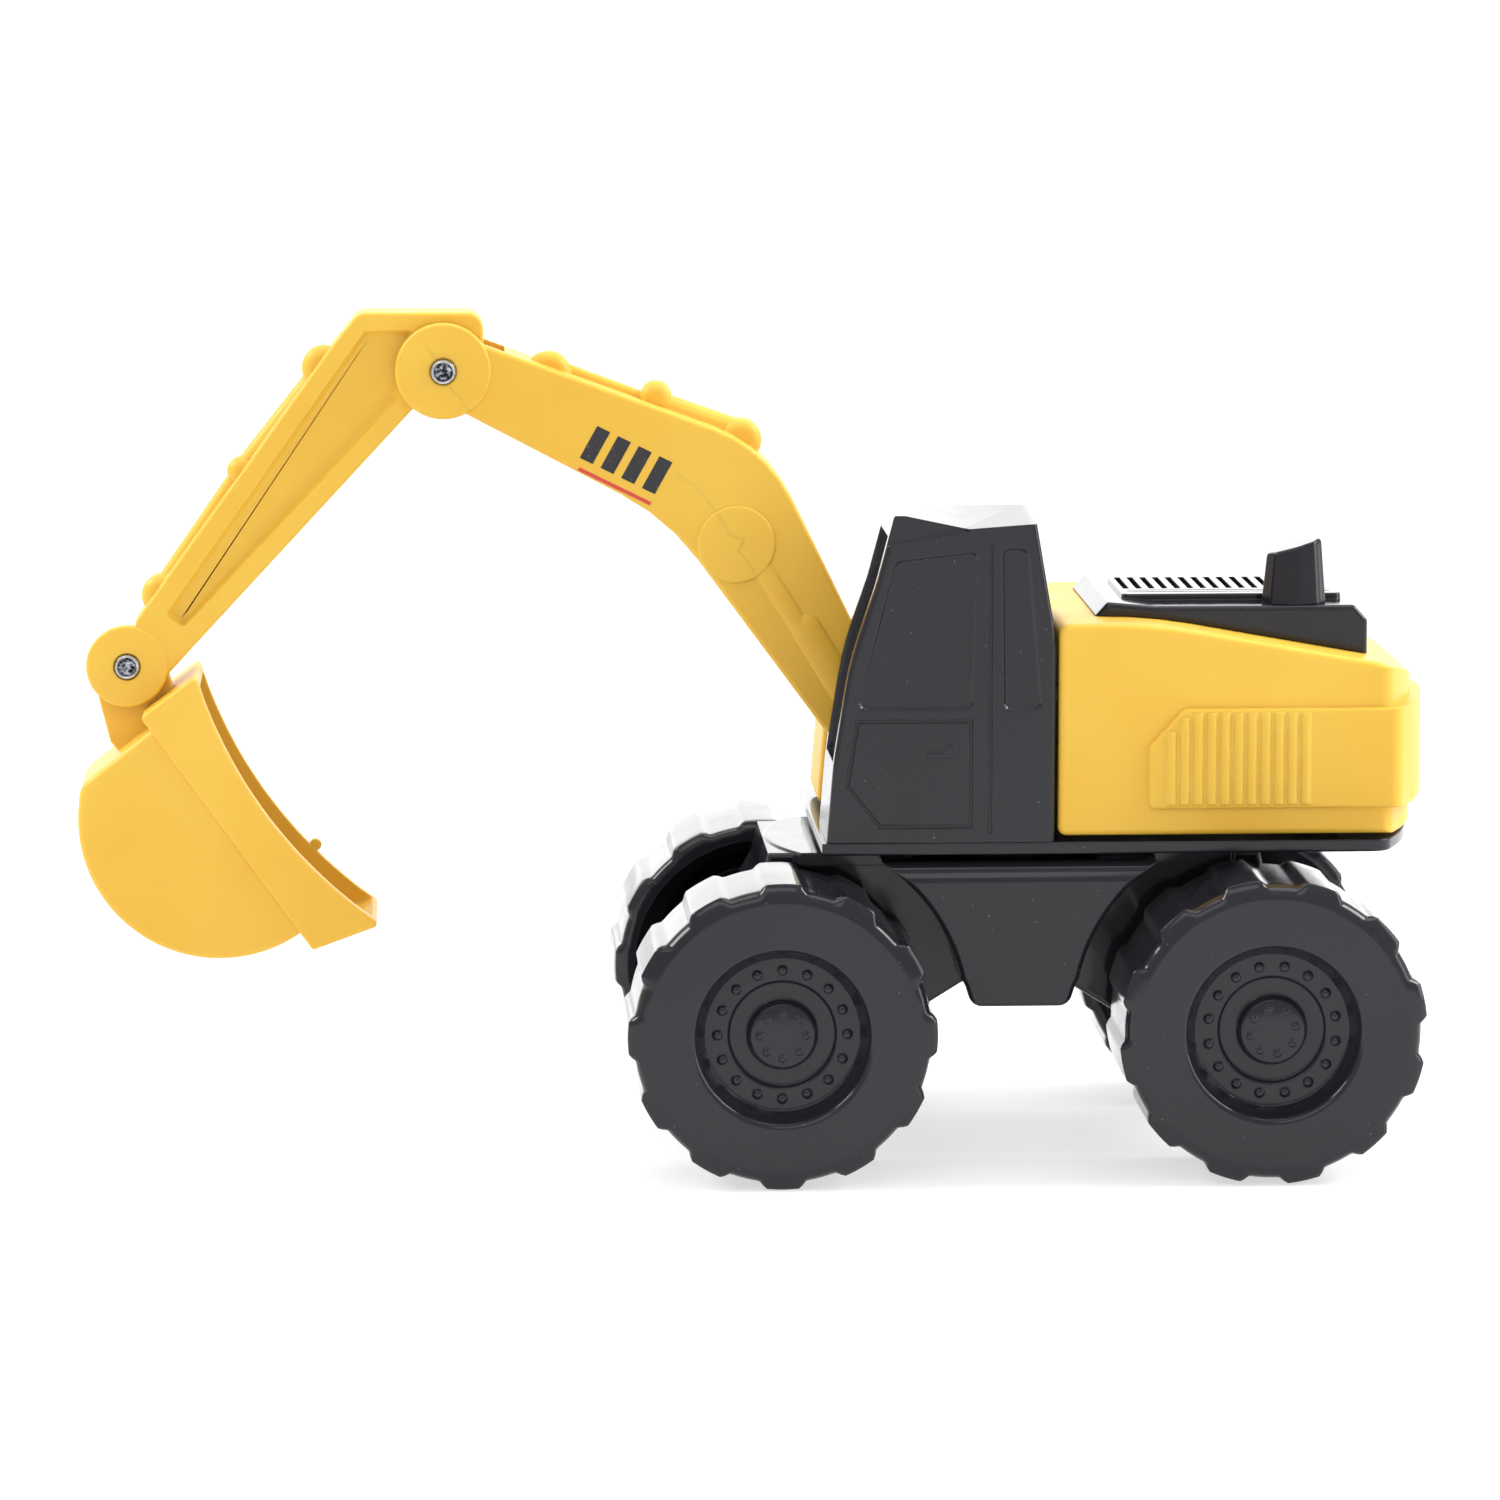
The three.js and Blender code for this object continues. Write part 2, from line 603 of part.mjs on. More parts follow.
const SIDE_WINDOW = [
  corner(-30.6, 86, 1),
  corner(-9, 86, 1),
  corner(-8, 115.5, 1),
  corner(-23.5, 113.8, 1.5),
];
const REAR_WINDOW = [
  corner(-3.4, 85.8, 1),
  corner(3.9, 85.8, 1),
  corner(1.3, 116, 2),
  corner(-3.8, 116, 1),
];
const DOOR_PANEL = [
  corner(-26.4, 64, 0.5),
  corner(-9, 64, 0.5),
  corner(-9, 84.3, 0.5),
  corner(-30.6, 84.3, 0.5),
  corner(-32.6, 71.8, 0.5),
];

/** A thin groove that follows an outline on the outer face of the cab. */
function sideGroove(corners, width, depth) {
  const y = -TURRET_HALF_WIDTH;
  const outer = plateXZ(rounded(corners), y - 1, y + depth);
  return outer.subtract(plateXZ(rounded(inset(corners, width)), y - 2, y + depth + 1));
}

const sidePanel = (corners, depth) =>
  plateXZ(rounded(corners), -TURRET_HALF_WIDTH - 1, -TURRET_HALF_WIDTH + depth);

/** The wedge that takes the roof's outer edge down towards the windscreen. */
function roofWedge() {
  const low = [[3, -36, 120.6], [3, -32.6, 120.8], [-24.9, -16, 120.5], [-30.4, -36, 115.7]];
  const high = low.map(([x, y, z]) => [x, y, z + 8]);
  return ringStack([low, high]);
}

function cabShell() {
  const inner = CAB_INNER_Y;
  const outer = -TURRET_HALF_WIDTH;
  const shell = plateXZ(rounded(CAB_SIDE), outer, inner, 1);
  const roomSide = inset(CAB_SIDE, WALL).map((c) => (c.v < 70 ? corner(c.u, 50) : c));
  const room = plateXZ(rounded(roomSide), outer + WALL, inner - WALL);
  const panels = union([
    sidePanel(SIDE_WINDOW, 0.5),
    sidePanel(REAR_WINDOW, 0.5),
    sideGroove(DOOR_PANEL, 0.7, 0.5),
  ]);
  const pillar = plateXZ(rectangle(-6.2, -5.4, 63, 117), outer - 1, outer + 0.4);
  const handle = block([-17.5, -12.6], [outer - 0.4, outer + 1], [77.4, 78.4]);
  const [x, y] = turretScrewSpots[0];
  const boss = uprightRod(x, y, 3, CAB_BOTTOM_Z, 106, 8);
  const pilot = uprightRod(x, y, 1.6, 50, 72, 8);
  return shell
    .subtract(room)
    .subtract(panels)
    .subtract(pillar)
    .add(handle)
    .add(boss.intersect(shell))
    .subtract(pilot);
}

// ---------------------------------------------------------------- turret: engine cover, exhaust

function engineCover() {
  const side = [
    corner(13.4, 94),
    corner(65.5, 94),
    corner(65.5, 100.6),
    corner(62.9, COVER_TOP_Z),
    corner(16.6, COVER_TOP_Z),
    corner(13.4, 100.4),
  ];
  const half = COVER_HALF_WIDTH;
  const shell = plateXZ(rounded(side), -half, half, 0.9);
  const roof = BODY_SIDE.map((c) => corner(c.u, c.v > 90 ? c.v + CLEARANCE : c.v, c.radius));
  const bodyBelow = plateXZ(rounded(roof), -40, 40);
  const raisedPlan = rectangle(...GRILLE_PANEL_X, -12.4, 12.4);
  const raised = plateXY(raisedPlan, COVER_TOP_Z - 1, COVER_TOP_Z + 0.9, 0.6);
  const slots = [];
  for (let i = 0; i < GRILLE_SLOT_COUNT; i += 1) {
    const x = GRILLE_FIRST_X + i * GRILLE_SLOT_PITCH;
    slots.push(block([x - 0.65, x + 0.65], [-10.8, 10.8], [COVER_TOP_Z - 0.3, COVER_TOP_Z + 3]));
  }
  const pegs = [24, 54].map((x) => uprightRod(x, 0, 2, 97, 103, 8));
  const stackHole = plateXY(disc(0, 0, 2.2, 12), 90, 110).translate([EXHAUST.x, EXHAUST.y, 0]);
  return shell
    .subtract(bodyBelow)
    .add(raised)
    .subtract(union(slots))
    .add(union(pegs))
    .subtract(stackHole);
}

/** The exhaust: a tapered oval with flat flutes, cut off at a slant, and a peg below. */
function exhaustStack() {
  const ring = (halfX, halfY, lowZ, rise) => {
    const points = [];
    for (let i = 0; i < 16; i += 1) {
      const angle = (i * Math.PI) / 8;
      const flute = i % 2 ? 0.93 : 1;
      const x = halfX * Math.cos(angle) * flute;
      points.push([x, halfY * Math.sin(angle) * flute, lowZ + (rise * (x + halfX)) / (2 * halfX)]);
    }
    return points;
  };
  const base = COVER_TOP_Z + 0.1;
  const stack = ringStack([ring(6, 4.2, base, 0), ring(5.1, 3.6, base + 9, 2.6)]);
  const peg = uprightRod(0, 0, 1.9, base - 2.5, base + 1, 12);
  return stack.add(peg).translate([EXHAUST.x, EXHAUST.y, 0]);
}

function buildTurret() {
  buildTurretBase();
  place('body_shell', bodyShell(), YELLOW);
  place('cab_shell', cabShell().subtract(roofWedge()), BLACK);
  place('engine_cover', engineCover(), BLACK);
  place('exhaust_stack', exhaustStack(), BLACK);
}

// ---------------------------------------------------------------- arm

/** A hollow steel rivet across the vehicle, with a flared head at each end. */
function rivet(at, halfLength) {
  const profile = [
    [0, -halfLength + 2.5],
    [1.3, -halfLength + 2.5],
    [1.3, -halfLength],
    [PIN_HEAD_RADIUS, -halfLength],
    [PIN_HEAD_RADIUS, -halfLength + PIN_HEAD_HEIGHT],
    [PIN_RADIUS, -halfLength + PIN_HEAD_HEIGHT],
  ];
  const mirrored = profile.map(([radius, z]) => [radius, -z]).reverse();
  const rod = turned([...profile, ...mirrored], 12).rotate([90, 0, 0]);
  return rod.translate([at.x, 0, at.z]);
}

/** A raised copy of a ram along an edge: a barrel, a thinner rod and three cross bosses. */
function mouldedRam(barrelEnd, middle, rodEnd, barrelRadius) {
  const bar = (from, to, radius) => plateXZ(capsule(from, to, radius, 3), -radius, radius, radius * 0.5);
  return union([
    bar(barrelEnd, middle, barrelRadius),
    bar(middle, rodEnd, 1.5),
    plateXZ(disc(barrelEnd.x, barrelEnd.z, 4, 10), -3.4, 3.4, 0.8),
    plateXZ(disc(middle.x, middle.z, barrelRadius + 0.5, 8), -2.8, 2.8, 0.7),
    plateXZ(disc(rodEnd.x, rodEnd.z, 3.7, 10), -3.4, 3.4, 0.8),
  ]);
}

function boomSolid() {
  const outline = [
    corner(STICK_PIVOT.x + 3, 139.4),
    corner(-64.4, 119.1, 42),
    corner(BOOM_PIVOT.x - 7.4, BOOM_PIVOT.z - 4),
    corner(BOOM_PIVOT.x + 1.6, BOOM_PIVOT.z + 3),
    corner(-45.6, 132.3, 26),
    corner(STICK_PIVOT.x + 4, 153),
  ];
  const w = BOOM_HALF_WIDTH;
  const arm = plateXZ(rounded(outline), -w, w, 0.7);
  const eye = crossRod(STICK_PIVOT, 8.9, -w, w, 20);
  const root = crossRod(BOOM_PIVOT, 7, -w, w, 20);
  const narrow = plateXZ(disc(BOOM_PIVOT.x, BOOM_PIVOT.z, 11, 20), BOOM_ROOT_HALF_WIDTH, w + 2);

  // the underside is open: only the two side plates and the back stand
  const channel = inset(outline, 2.2).map((c, i) => {
    if (i === 0) return corner(c.u + 8, c.v - 14);
    if (i === 1) return corner(c.u - 6, c.v - 14, 42);
    if (i === 2) return corner(c.u - 2, c.v + 22);
    if (i === 3) return corner(c.u - 10, c.v + 20);
    if (i === 4) return corner(c.u, c.v, c.radius);
    return corner(c.u + 9, c.v - 2.4, c.radius);
  });
  const hollow = plateXZ(rounded(channel), -BOOM_FORK_HALF_GAP, BOOM_FORK_HALF_GAP);
  const fork = crossRod(STICK_PIVOT, 12, -BOOM_FORK_HALF_GAP, BOOM_FORK_HALF_GAP, 20);

  const eyeDisc = crossRod(STICK_PIVOT, 8.9, w - 1, w + 0.7, 20);
  const elbowDisc = plateXZ(disc(ELBOW_DISC.x, ELBOW_DISC.z, 7.4, 20), w - 1, w + 0.6);
  const sideRod = plateXZ(capsule({ x: -46.4, z: 109.4 }, { x: -39.8, z: 99 }, 1.6, 4), w - 1, w + 0.5);
  const sideBarrel = plateXZ(capsule({ x: -38.3, z: 98.2 }, { x: -30.5, z: 85.5 }, 2.6, 5), w - 1, w + 0.6);
  const relief = bothSides(union([eyeDisc, elbowDisc, sideRod, sideBarrel]));

  const ram = mouldedRam({ x: -50.4, z: 133.1 }, { x: -66, z: 141.2 }, { x: -86.3, z: 147 }, 2.5);
  return union([arm, eye, root, relief])
    .subtract(hollow)
    .subtract(fork)
    .add(ram.subtract(hollow))
    .subtract(bothSides(narrow))
    .subtract(crossRod(STICK_PIVOT, PIN_RADIUS + 0.15, -20, 20))
    .subtract(crossRod(BOOM_PIVOT, PIN_RADIUS + 0.15, -20, 20));
}

const STICK_SIDE = [
  corner(-163.9, 99.6, 2),
  corner(-158, 89.6),
  corner(-111.5, 139.6, 0),
  corner(-104, 139.2),
  corner(-98.2, 147),
  corner(-98.4, 157.5, 3),
  corner(-121.6, 157.6, 3),
  corner(-126.4, 151.6, 3),
];
const STICK_POCKET = [
  corner(-158, 101.2, 1.2),
  corner(-154.6, 98.8, 1.2),
  corner(-114.2, 141.6, 2),
  corner(-110.9, 154.2, 1.2),
  corner(-120.4, 154.2, 1.2),
];

function stickSolid() {
  const w = STICK_HALF_WIDTH;
  const arm = plateXZ(rounded(STICK_SIDE), -w, w, 0.6);
  const eye = crossRod(STICK_PIVOT, 8, -w, w, 20);
  const foot = crossRod(BUCKET_PIVOT, 7.65, -w, w, 20);
  const pocket = plateXZ(rounded(STICK_POCKET), w - 1.2, w + 2);
  const beyond = { x: BUCKET_PIVOT.x - 9, z: BUCKET_PIVOT.z - 6 };
  const forkGap = capsule(BUCKET_PIVOT, beyond, 8.7, 12);
  const fork = plateXZ(forkGap, -STICK_FORK_HALF_GAP, STICK_FORK_HALF_GAP);
  const ram = mouldedRam({ x: -128.6, z: 147.6 }, { x: -143.2, z: 127.6 }, { x: -159.2, z: 105 }, 2);
  return union([arm, eye, foot])
    .subtract(bothSides(pocket))
    .add(ram)
    .subtract(fork)
    .subtract(crossRod(STICK_PIVOT, PIN_RADIUS + 0.15, -20, 20))
    .subtract(crossRod(BUCKET_PIVOT, PIN_RADIUS + 0.15, -20, 20));
}

const SCOOP_CENTRE = { x: -148.2, z: 63.4 };
const SCOOP_RADIUS = 26.4;

/** The curved mouth edge of the bucket, from the lip up to the top corner. */
function mouthEdge() {
  const lip = new THREE.Vector2(-118.4, 43.6);
  const middle = new THREE.Vector2(-143.2, 61.5);
  const top = new THREE.Vector2(-152.2, 90.3);
  return new THREE.QuadraticBezierCurve(lip, middle, top).getPoints(8).slice(1, -1);
}

/** Points given as corners without a radius, so that they can share an outline with rounded ones. */
const sharp = (points) => points.map((p) => corner(p.x, p.y));

function bucketSolid() {
  const { x, z } = SCOOP_CENTRE;
  const bowlOutline = [
    ...sharp(arc(x, z, SCOOP_RADIUS, 176, 304, 16)),
    corner(-131.5, 44.5),
    corner(-158.5, 82.2),
    corner(-174.2, 69.7, 5),
  ];
  const rimOutline = [
    corner(-162.6, 83),
    corner(-131, 38.8),
    corner(-118.1, 43.5),
    ...sharp(mouthEdge()),
    corner(-152.2, 90.6),
  ];
  const roomOutline = [
    ...sharp(arc(x, z, SCOOP_RADIUS - WALL, 176, 303, 16)),
    corner(-122, 43.6),
    corner(-105, 52),
    corner(-140, 96),
    corner(-152.2, 88),
    corner(-158, 80.3),
    corner(-172.4, 68.8, 3.4),
  ];
  const bowl = plateXZ(rounded(bowlOutline), -BUCKET_HALF_WIDTH, BUCKET_HALF_WIDTH, 0.7);
  const rim = plateXZ(rounded(rimOutline), -RIM_HALF_WIDTH, RIM_HALF_WIDTH, 0.5);
  const roomHalf = BUCKET_HALF_WIDTH - WALL;
  const room = plateXZ(rounded(roomOutline), -roomHalf, roomHalf);
  const earOutline = [
    ...arc(BUCKET_PIVOT.x, BUCKET_PIVOT.z, 6.9, 20, 200, 12),
    new THREE.Vector2(-168.6, 77),
    new THREE.Vector2(-166, 74),
    new THREE.Vector2(-156.5, 85),
  ];
  const ear = plateXZ(earOutline, -EAR_HALF_WIDTH, EAR_HALF_WIDTH);
  return bowl
    .add(rim)
    .subtract(room)
    .add(ear)
    .subtract(crossRod(BUCKET_PIVOT, PIN_RADIUS + 0.15, -20, 20));
}

function buildArm() {
  place('boom', boomSolid(), YELLOW);
  place('stick', stickSolid(), YELLOW);
  place('bucket', bucketSolid(), YELLOW);
  place('stick_pin', rivet(STICK_PIVOT, BOOM_HALF_WIDTH + 1.7), STEEL);
  place('bucket_pin', rivet(BUCKET_PIVOT, STICK_HALF_WIDTH + 1), STEEL);
  place('boom_pin', crossRod(BOOM_PIVOT, PIN_RADIUS, -8.8, 8.8), STEEL);
}

buildRunningGear();
buildChassis();
buildTurret();
buildArm();

export default excavator;
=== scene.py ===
"""Toy wheeled excavator: the finished surfaces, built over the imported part.

Lengths are in millimetres above the ground line, in the part's own directions: -X towards the
bucket, -Y towards the cab's side, +Z up. place() turns them into the frame's metres.
"""

import math

import bmesh
import bpy
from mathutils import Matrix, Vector


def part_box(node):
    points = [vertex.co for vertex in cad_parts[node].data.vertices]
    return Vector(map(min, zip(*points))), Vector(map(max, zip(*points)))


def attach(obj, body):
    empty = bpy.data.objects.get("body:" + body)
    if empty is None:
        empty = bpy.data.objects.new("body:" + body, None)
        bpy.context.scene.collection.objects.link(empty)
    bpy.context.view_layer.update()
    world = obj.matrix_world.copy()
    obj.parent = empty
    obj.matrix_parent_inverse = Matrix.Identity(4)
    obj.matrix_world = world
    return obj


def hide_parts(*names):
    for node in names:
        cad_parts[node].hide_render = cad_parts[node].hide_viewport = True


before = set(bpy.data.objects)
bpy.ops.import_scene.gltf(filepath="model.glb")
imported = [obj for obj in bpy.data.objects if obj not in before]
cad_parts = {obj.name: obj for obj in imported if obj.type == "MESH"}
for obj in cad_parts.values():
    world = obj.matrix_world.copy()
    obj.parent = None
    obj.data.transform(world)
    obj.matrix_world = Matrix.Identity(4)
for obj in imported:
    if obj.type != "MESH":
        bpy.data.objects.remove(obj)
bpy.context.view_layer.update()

# ---------------------------------------------------------------- dimensions

MM = 0.001
BELLY_HEIGHT = 31.3

WHEEL_RADIUS = 28.5
WHEEL_FACE_Y = 52
AXLE_X = 45
LUG_COUNT = 12

CARRIER_HALF = 20
SKIRT_HALF = 34
SKIRT_LOW = 30.6
CHASSIS_TOP = 57.9
ARCH_RADIUS = 34.9

TURRET_HALF = 33
DECK_LOW, DECK_HIGH = 59, 61.3
BODY_LOW = 62.4
CAB_LOW = 61.35
BODY_FRONT = 6.9
BODY_REAR_RADIUS = 76
BAND_HALF = 34.2
BAND_LOW, BAND_HIGH = 67.4, 86.1
BAND_REAR_RADIUS = 78
BOX_FRONT = -35.2
CAB_INNER = -9.2
COVER_HALF = 22
COVER_TOP = 103.7
EXHAUST_X, EXHAUST_Y = 52.2, -17

BOOM_ROOT = (-19, 71.5)
STICK_PIN = (-105.9, 146.8)
BUCKET_PIN = (-165.2, 91.6)
ELBOW = (-51.4, 114.2)
BOOM_HALF = 8.5
BOOM_GAP = 6.2
BOOM_ROOT_HALF = 6
STICK_HALF = 5.9
STICK_GAP = 3.3
EAR_HALF = 3
BUCKET_HALF = 12.5
RIM_HALF = 13.5
BUCKET_WALL = 1.8
SCOOP = (-148.2, 63.4)
SCOOP_RADIUS = 26.3

# ---------------------------------------------------------------- outlines


def arc(centre, radius, start, end, steps):
    """Points along an arc, both ends included. Angles are in degrees."""
    points = []
    for i in range(steps + 1):
        angle = math.radians(start + (end - start) * i / steps)
        points.append((centre[0] + radius * math.cos(angle), centre[1] + radius * math.sin(angle)))
    return points


def disc(centre, radius, steps=64):
    return arc(centre, radius, 0, 360, steps)[:-1]


def rectangle(u_low, u_high, v_low, v_high):
    return [(u_low, v_low), (u_high, v_low), (u_high, v_high), (u_low, v_high)]


def rounded(corners):
    """A closed outline through (u, v, radius) corners, each turned with its own radius."""
    points = []
    for i, (u, v, radius) in enumerate(corners):
        at = Vector((u, v))
        if radius == 0:
            points.append((u, v))
            continue
        before = Vector(corners[i - 1][:2]) - at
        after = Vector(corners[(i + 1) % len(corners)][:2]) - at
        reach = min(before.length, after.length) * 0.49
        half = before.angle(after) / 2
        length = min(radius / math.tan(half), reach)
        turn_radius = length * math.tan(half)
        middle = (before.normalized() + after.normalized()).normalized()
        centre = at + middle * (turn_radius / math.sin(half))
        start = at + before.normalized() * length - centre
        end = at + after.normalized() * length - centre
        first = math.atan2(start.y, start.x)
        sweep = (math.atan2(end.y, end.x) - first + math.pi) % (2 * math.pi) - math.pi
        steps = max(3, round(abs(sweep) / 0.14))
        points += arc(centre, turn_radius, math.degrees(first), math.degrees(first + sweep), steps)
    return points


def inset(corners, distance):
    """The (u, v, radius) corners of an anticlockwise outline, moved inwards."""
    moved = []
    for i, (u, v, radius) in enumerate(corners):
        a = (Vector((u, v)) - Vector(corners[i - 1][:2])).normalized()
        b = (Vector(corners[(i + 1) % len(corners)][:2]) - Vector((u, v))).normalized()
        normal = Vector((-a.y - b.y, a.x + b.x)).normalized()
        shift = distance / normal.dot(Vector((-a.y, a.x)))
        moved.append((u + normal.x * shift, v + normal.y * shift, max(radius - distance, 0.4) if radius else 0))
    return moved


def capsule(start, end, radius, steps=12):
    """The outline of a bar with round ends."""
    heading = math.degrees(math.atan2(end[1] - start[1], end[0] - start[0]))
    return (arc(end, radius, heading - 90, heading + 90, steps)
            + arc(start, radius, heading + 90, heading + 270, steps))


def shrunk(points, distance):
    """A closed outline drawn again a distance inside itself, with the same number of points."""
    if distance == 0:
        return points
    count = len(points)
    area = sum(points[i - 1][0] * points[i][1] - points[i][0] * points[i - 1][1] for i in range(count))
    side = 1 if area > 0 else -1
    moved = []
    for i in range(count):
        at = Vector(points[i])
        a = (at - Vector(points[i - 1])).normalized()
        b = (Vector(points[(i + 1) % count]) - at).normalized()
        normal = Vector((-a.y - b.y, a.x + b.x)).normalized() * side
        lean = max(normal.dot(Vector((-a.y, a.x)) * side), 0.4)
        moved.append(tuple(at + normal * (distance / lean)))
    return moved


# ---------------------------------------------------------------- solids


def place(x, y, z):
    """Millimetres above the ground line to the frame's metres."""
    return Vector((x, y, z - BELLY_HEIGHT)) * MM


def skin(rings, closed=False):
    """A mesh over a row of rings with equal numbers of points. Its ends are capped, or it closes on itself."""
    count = len(rings[0])
    bm = bmesh.new()
    rows = [[bm.verts.new(place(*p)) for p in ring] for ring in rings]
    spans = list(zip(rows, rows[1:])) + ([(rows[-1], rows[0])] if closed else [])
    for low, high in spans:
        for i in range(count):
            j = (i + 1) % count
            bm.faces.new((low[i], low[j], high[j], high[i]))
    if not closed:
        bm.faces.new(rows[0])
        bm.faces.new(rows[-1])
    return finished(bm)


def finished(bm):
    """Turns a bmesh into a mesh with merged points and outward faces."""
    bmesh.ops.remove_doubles(bm, verts=bm.verts, dist=1e-7)
    bmesh.ops.recalc_face_normals(bm, faces=bm.faces)
    mesh = bpy.data.meshes.new("solid")
    bm.to_mesh(mesh)
    bm.free()
    return mesh


def edge_profile(low, high, edge_low, edge_high, steps):
    """(inset, height) pairs for a plate whose two rims are quarter rounds."""
    turns = [math.pi / 2 * k / steps for k in range(steps + 1)]
    start = [(edge_low * (1 - math.sin(t)), low + edge_low * (1 - math.cos(t))) for t in turns]
    end = [(edge_high * (1 - math.sin(t)), high - edge_high * (1 - math.cos(t))) for t in turns]
    start = start if edge_low else [(0, low)]
    end = end if edge_high else [(0, high)]
    return start + end[::-1]


def plate_y(outline, low, high, edge=0.0, edge_high=None, steps=4):
    """A plate with its outline in side view (x, z), between two values of y."""
    profile = edge_profile(low, high, edge, edge if edge_high is None else edge_high, steps)
    return skin([[(u, y, v) for u, v in shrunk(outline, d)] for d, y in profile])


def plate_z(outline, low, high, edge=0.0, edge_high=None, steps=4):
    """A plate with its outline in plan (x, y), between two heights."""
    profile = edge_profile(low, high, edge, edge if edge_high is None else edge_high, steps)
    return skin([[(u, v, z) for u, v in shrunk(outline, d)] for d, z in profile])


def box(x, y, z, edge=0.0):
    return plate_z(rectangle(*x, *y), *z, edge)


def cross_rod(at, radius, low, high, edge=0.0):
    return plate_y(disc(at, radius), low, high, edge)


def upright_rod(x, y, radius, low, high, edge=0.0):
    return plate_z(disc((x, y), radius), low, high, edge)


def turned_y(profile, at, steps=48):
    """A body turned about an axis across the vehicle, from (radius, y) pairs."""
    rings = []
    for radius, y in profile:
        rings.append([(u, y, v) for u, v in disc(at, max(radius, 1e-5), steps)])
    return skin(rings)


def turned_z(profile, x, y, steps=48):
    """A body turned about an upright axis, from (radius, z) pairs."""
    return skin([[(u, v, z) for u, v in disc((x, y), max(radius, 1e-5), steps)] for radius, z in profile])


def mirrored(mesh):
    """A copy on the other side of the centre plane y = 0."""
    bm = bmesh.new()
    bm.from_mesh(mesh)
    for vert in bm.verts:
        vert.co.y = -vert.co.y
    return finished(bm)


def both_sides(*meshes):
    return [m for mesh in meshes for m in (mesh, mirrored(mesh))]


def gathered(meshes):
    """Several meshes as one, without joining their surfaces."""
    bm = bmesh.new()
    for mesh in meshes:
        bm.from_mesh(mesh)
    return finished(bm)


def combined(operation, base, tools):
    """Runs one boolean operation between a base mesh and each tool in turn."""
    scene = bpy.context.scene
    holder = bpy.data.objects.new("base", base)
    scene.collection.objects.link(holder)
    helpers = []
    for tool in tools:
        helper = bpy.data.objects.new("tool", tool)
        scene.collection.objects.link(helper)
        modifier = holder.modifiers.new("join", "BOOLEAN")
        modifier.operation = operation
        modifier.solver = "EXACT"
        modifier.object = helper
        helpers.append(helper)
    graph = bpy.context.evaluated_depsgraph_get()
    result = bpy.data.meshes.new_from_object(holder.evaluated_get(graph))
    for item in helpers + [holder]:
        bpy.data.objects.remove(item)
    return result


def joined(base, *tools):
    return combined("UNION", base, tools)


def cut(base, *tools):
    return combined("DIFFERENCE", base, tools)


def common(base, *tools):
    return combined("INTERSECT", base, tools)


# ---------------------------------------------------------------- materials


def linear(red, green, blue):
    """An sRGB colour of 0-255 values as linear RGBA."""
    channels = []
    for value in (red, green, blue):
        c = value / 255
        channels.append(c / 12.92 if c <= 0.04045 else ((c + 0.055) / 1.055) ** 2.4)
    return (*channels, 1)


class Graph:
    """A material's nodes, with short calls for adding and linking them."""

    def __init__(self, name):
        self.material = bpy.data.materials.new(name)
        self.material.use_nodes = True
        self.tree = self.material.node_tree
        self.shader = next(n for n in self.tree.nodes if n.type == "BSDF_PRINCIPLED")
        self.place = self.node("ShaderNodeTexCoord").outputs["Object"]

    def node(self, kind, **settings):
        item = self.tree.nodes.new(kind)
        for key, value in settings.items():
            setattr(item, key, value)
        return item

    def link(self, source, target):
        if hasattr(source, "is_output"):
            self.tree.links.new(source, target)
        else:
            target.default_value = source

    def noise(self, scale, detail=3, roughness=0.5, stretch=None):
        item = self.node("ShaderNodeTexNoise")
        item.inputs["Scale"].default_value = scale
        item.inputs["Detail"].default_value = detail
        item.inputs["Roughness"].default_value = roughness
        source = self.place
        if stretch:
            mapping = self.node("ShaderNodeMapping")
            mapping.inputs["Scale"].default_value = stretch
            self.link(self.place, mapping.inputs["Vector"])
            source = mapping.outputs["Vector"]
        self.link(source, item.inputs["Vector"])
        return item.outputs["Fac"]

    def spread(self, value, low, high, to_low, to_high):
        item = self.node("ShaderNodeMapRange", clamp=True)
        for key, entry in zip(("Value", "From Min", "From Max", "To Min", "To Max"),
                              (value, low, high, to_low, to_high)):
            self.link(entry, item.inputs[key])
        return item.outputs["Result"]

    def math(self, operation, a, b=0.0):
        item = self.node("ShaderNodeMath", operation=operation)
        self.link(a, item.inputs[0])
        self.link(b, item.inputs[1])
        return item.outputs["Value"]

    def mix(self, factor, a, b):
        item = self.node("ShaderNodeMix", data_type="RGBA")
        self.link(factor, item.inputs["Factor"])
        self.link(a, item.inputs["A"])
        self.link(b, item.inputs["B"])
        return next(o for o in item.outputs if o.type == "RGBA")

    def soft_edges(self, radius):
        """(normal rounded over the edges, how near an edge is from 0 to 1)."""
        bevel = self.node("ShaderNodeBevel", samples=6)
        bevel.inputs["Radius"].default_value = radius
        geometry = self.node("ShaderNodeNewGeometry")
        dot = self.node("ShaderNodeVectorMath", operation="DOT_PRODUCT")
        self.link(bevel.outputs["Normal"], dot.inputs[0])
        self.link(geometry.outputs["Normal"], dot.inputs[1])
        return bevel.outputs["Normal"], self.spread(dot.outputs["Value"], 0.99, 0.8, 0.0, 1.0)

    def bump(self, height, distance, normal):
        item = self.node("ShaderNodeBump")
        item.inputs["Distance"].default_value = distance
        item.inputs["Strength"].default_value = 1.0
        self.link(height, item.inputs["Height"])
        self.link(normal, item.inputs["Normal"])
        return item.outputs["Normal"]


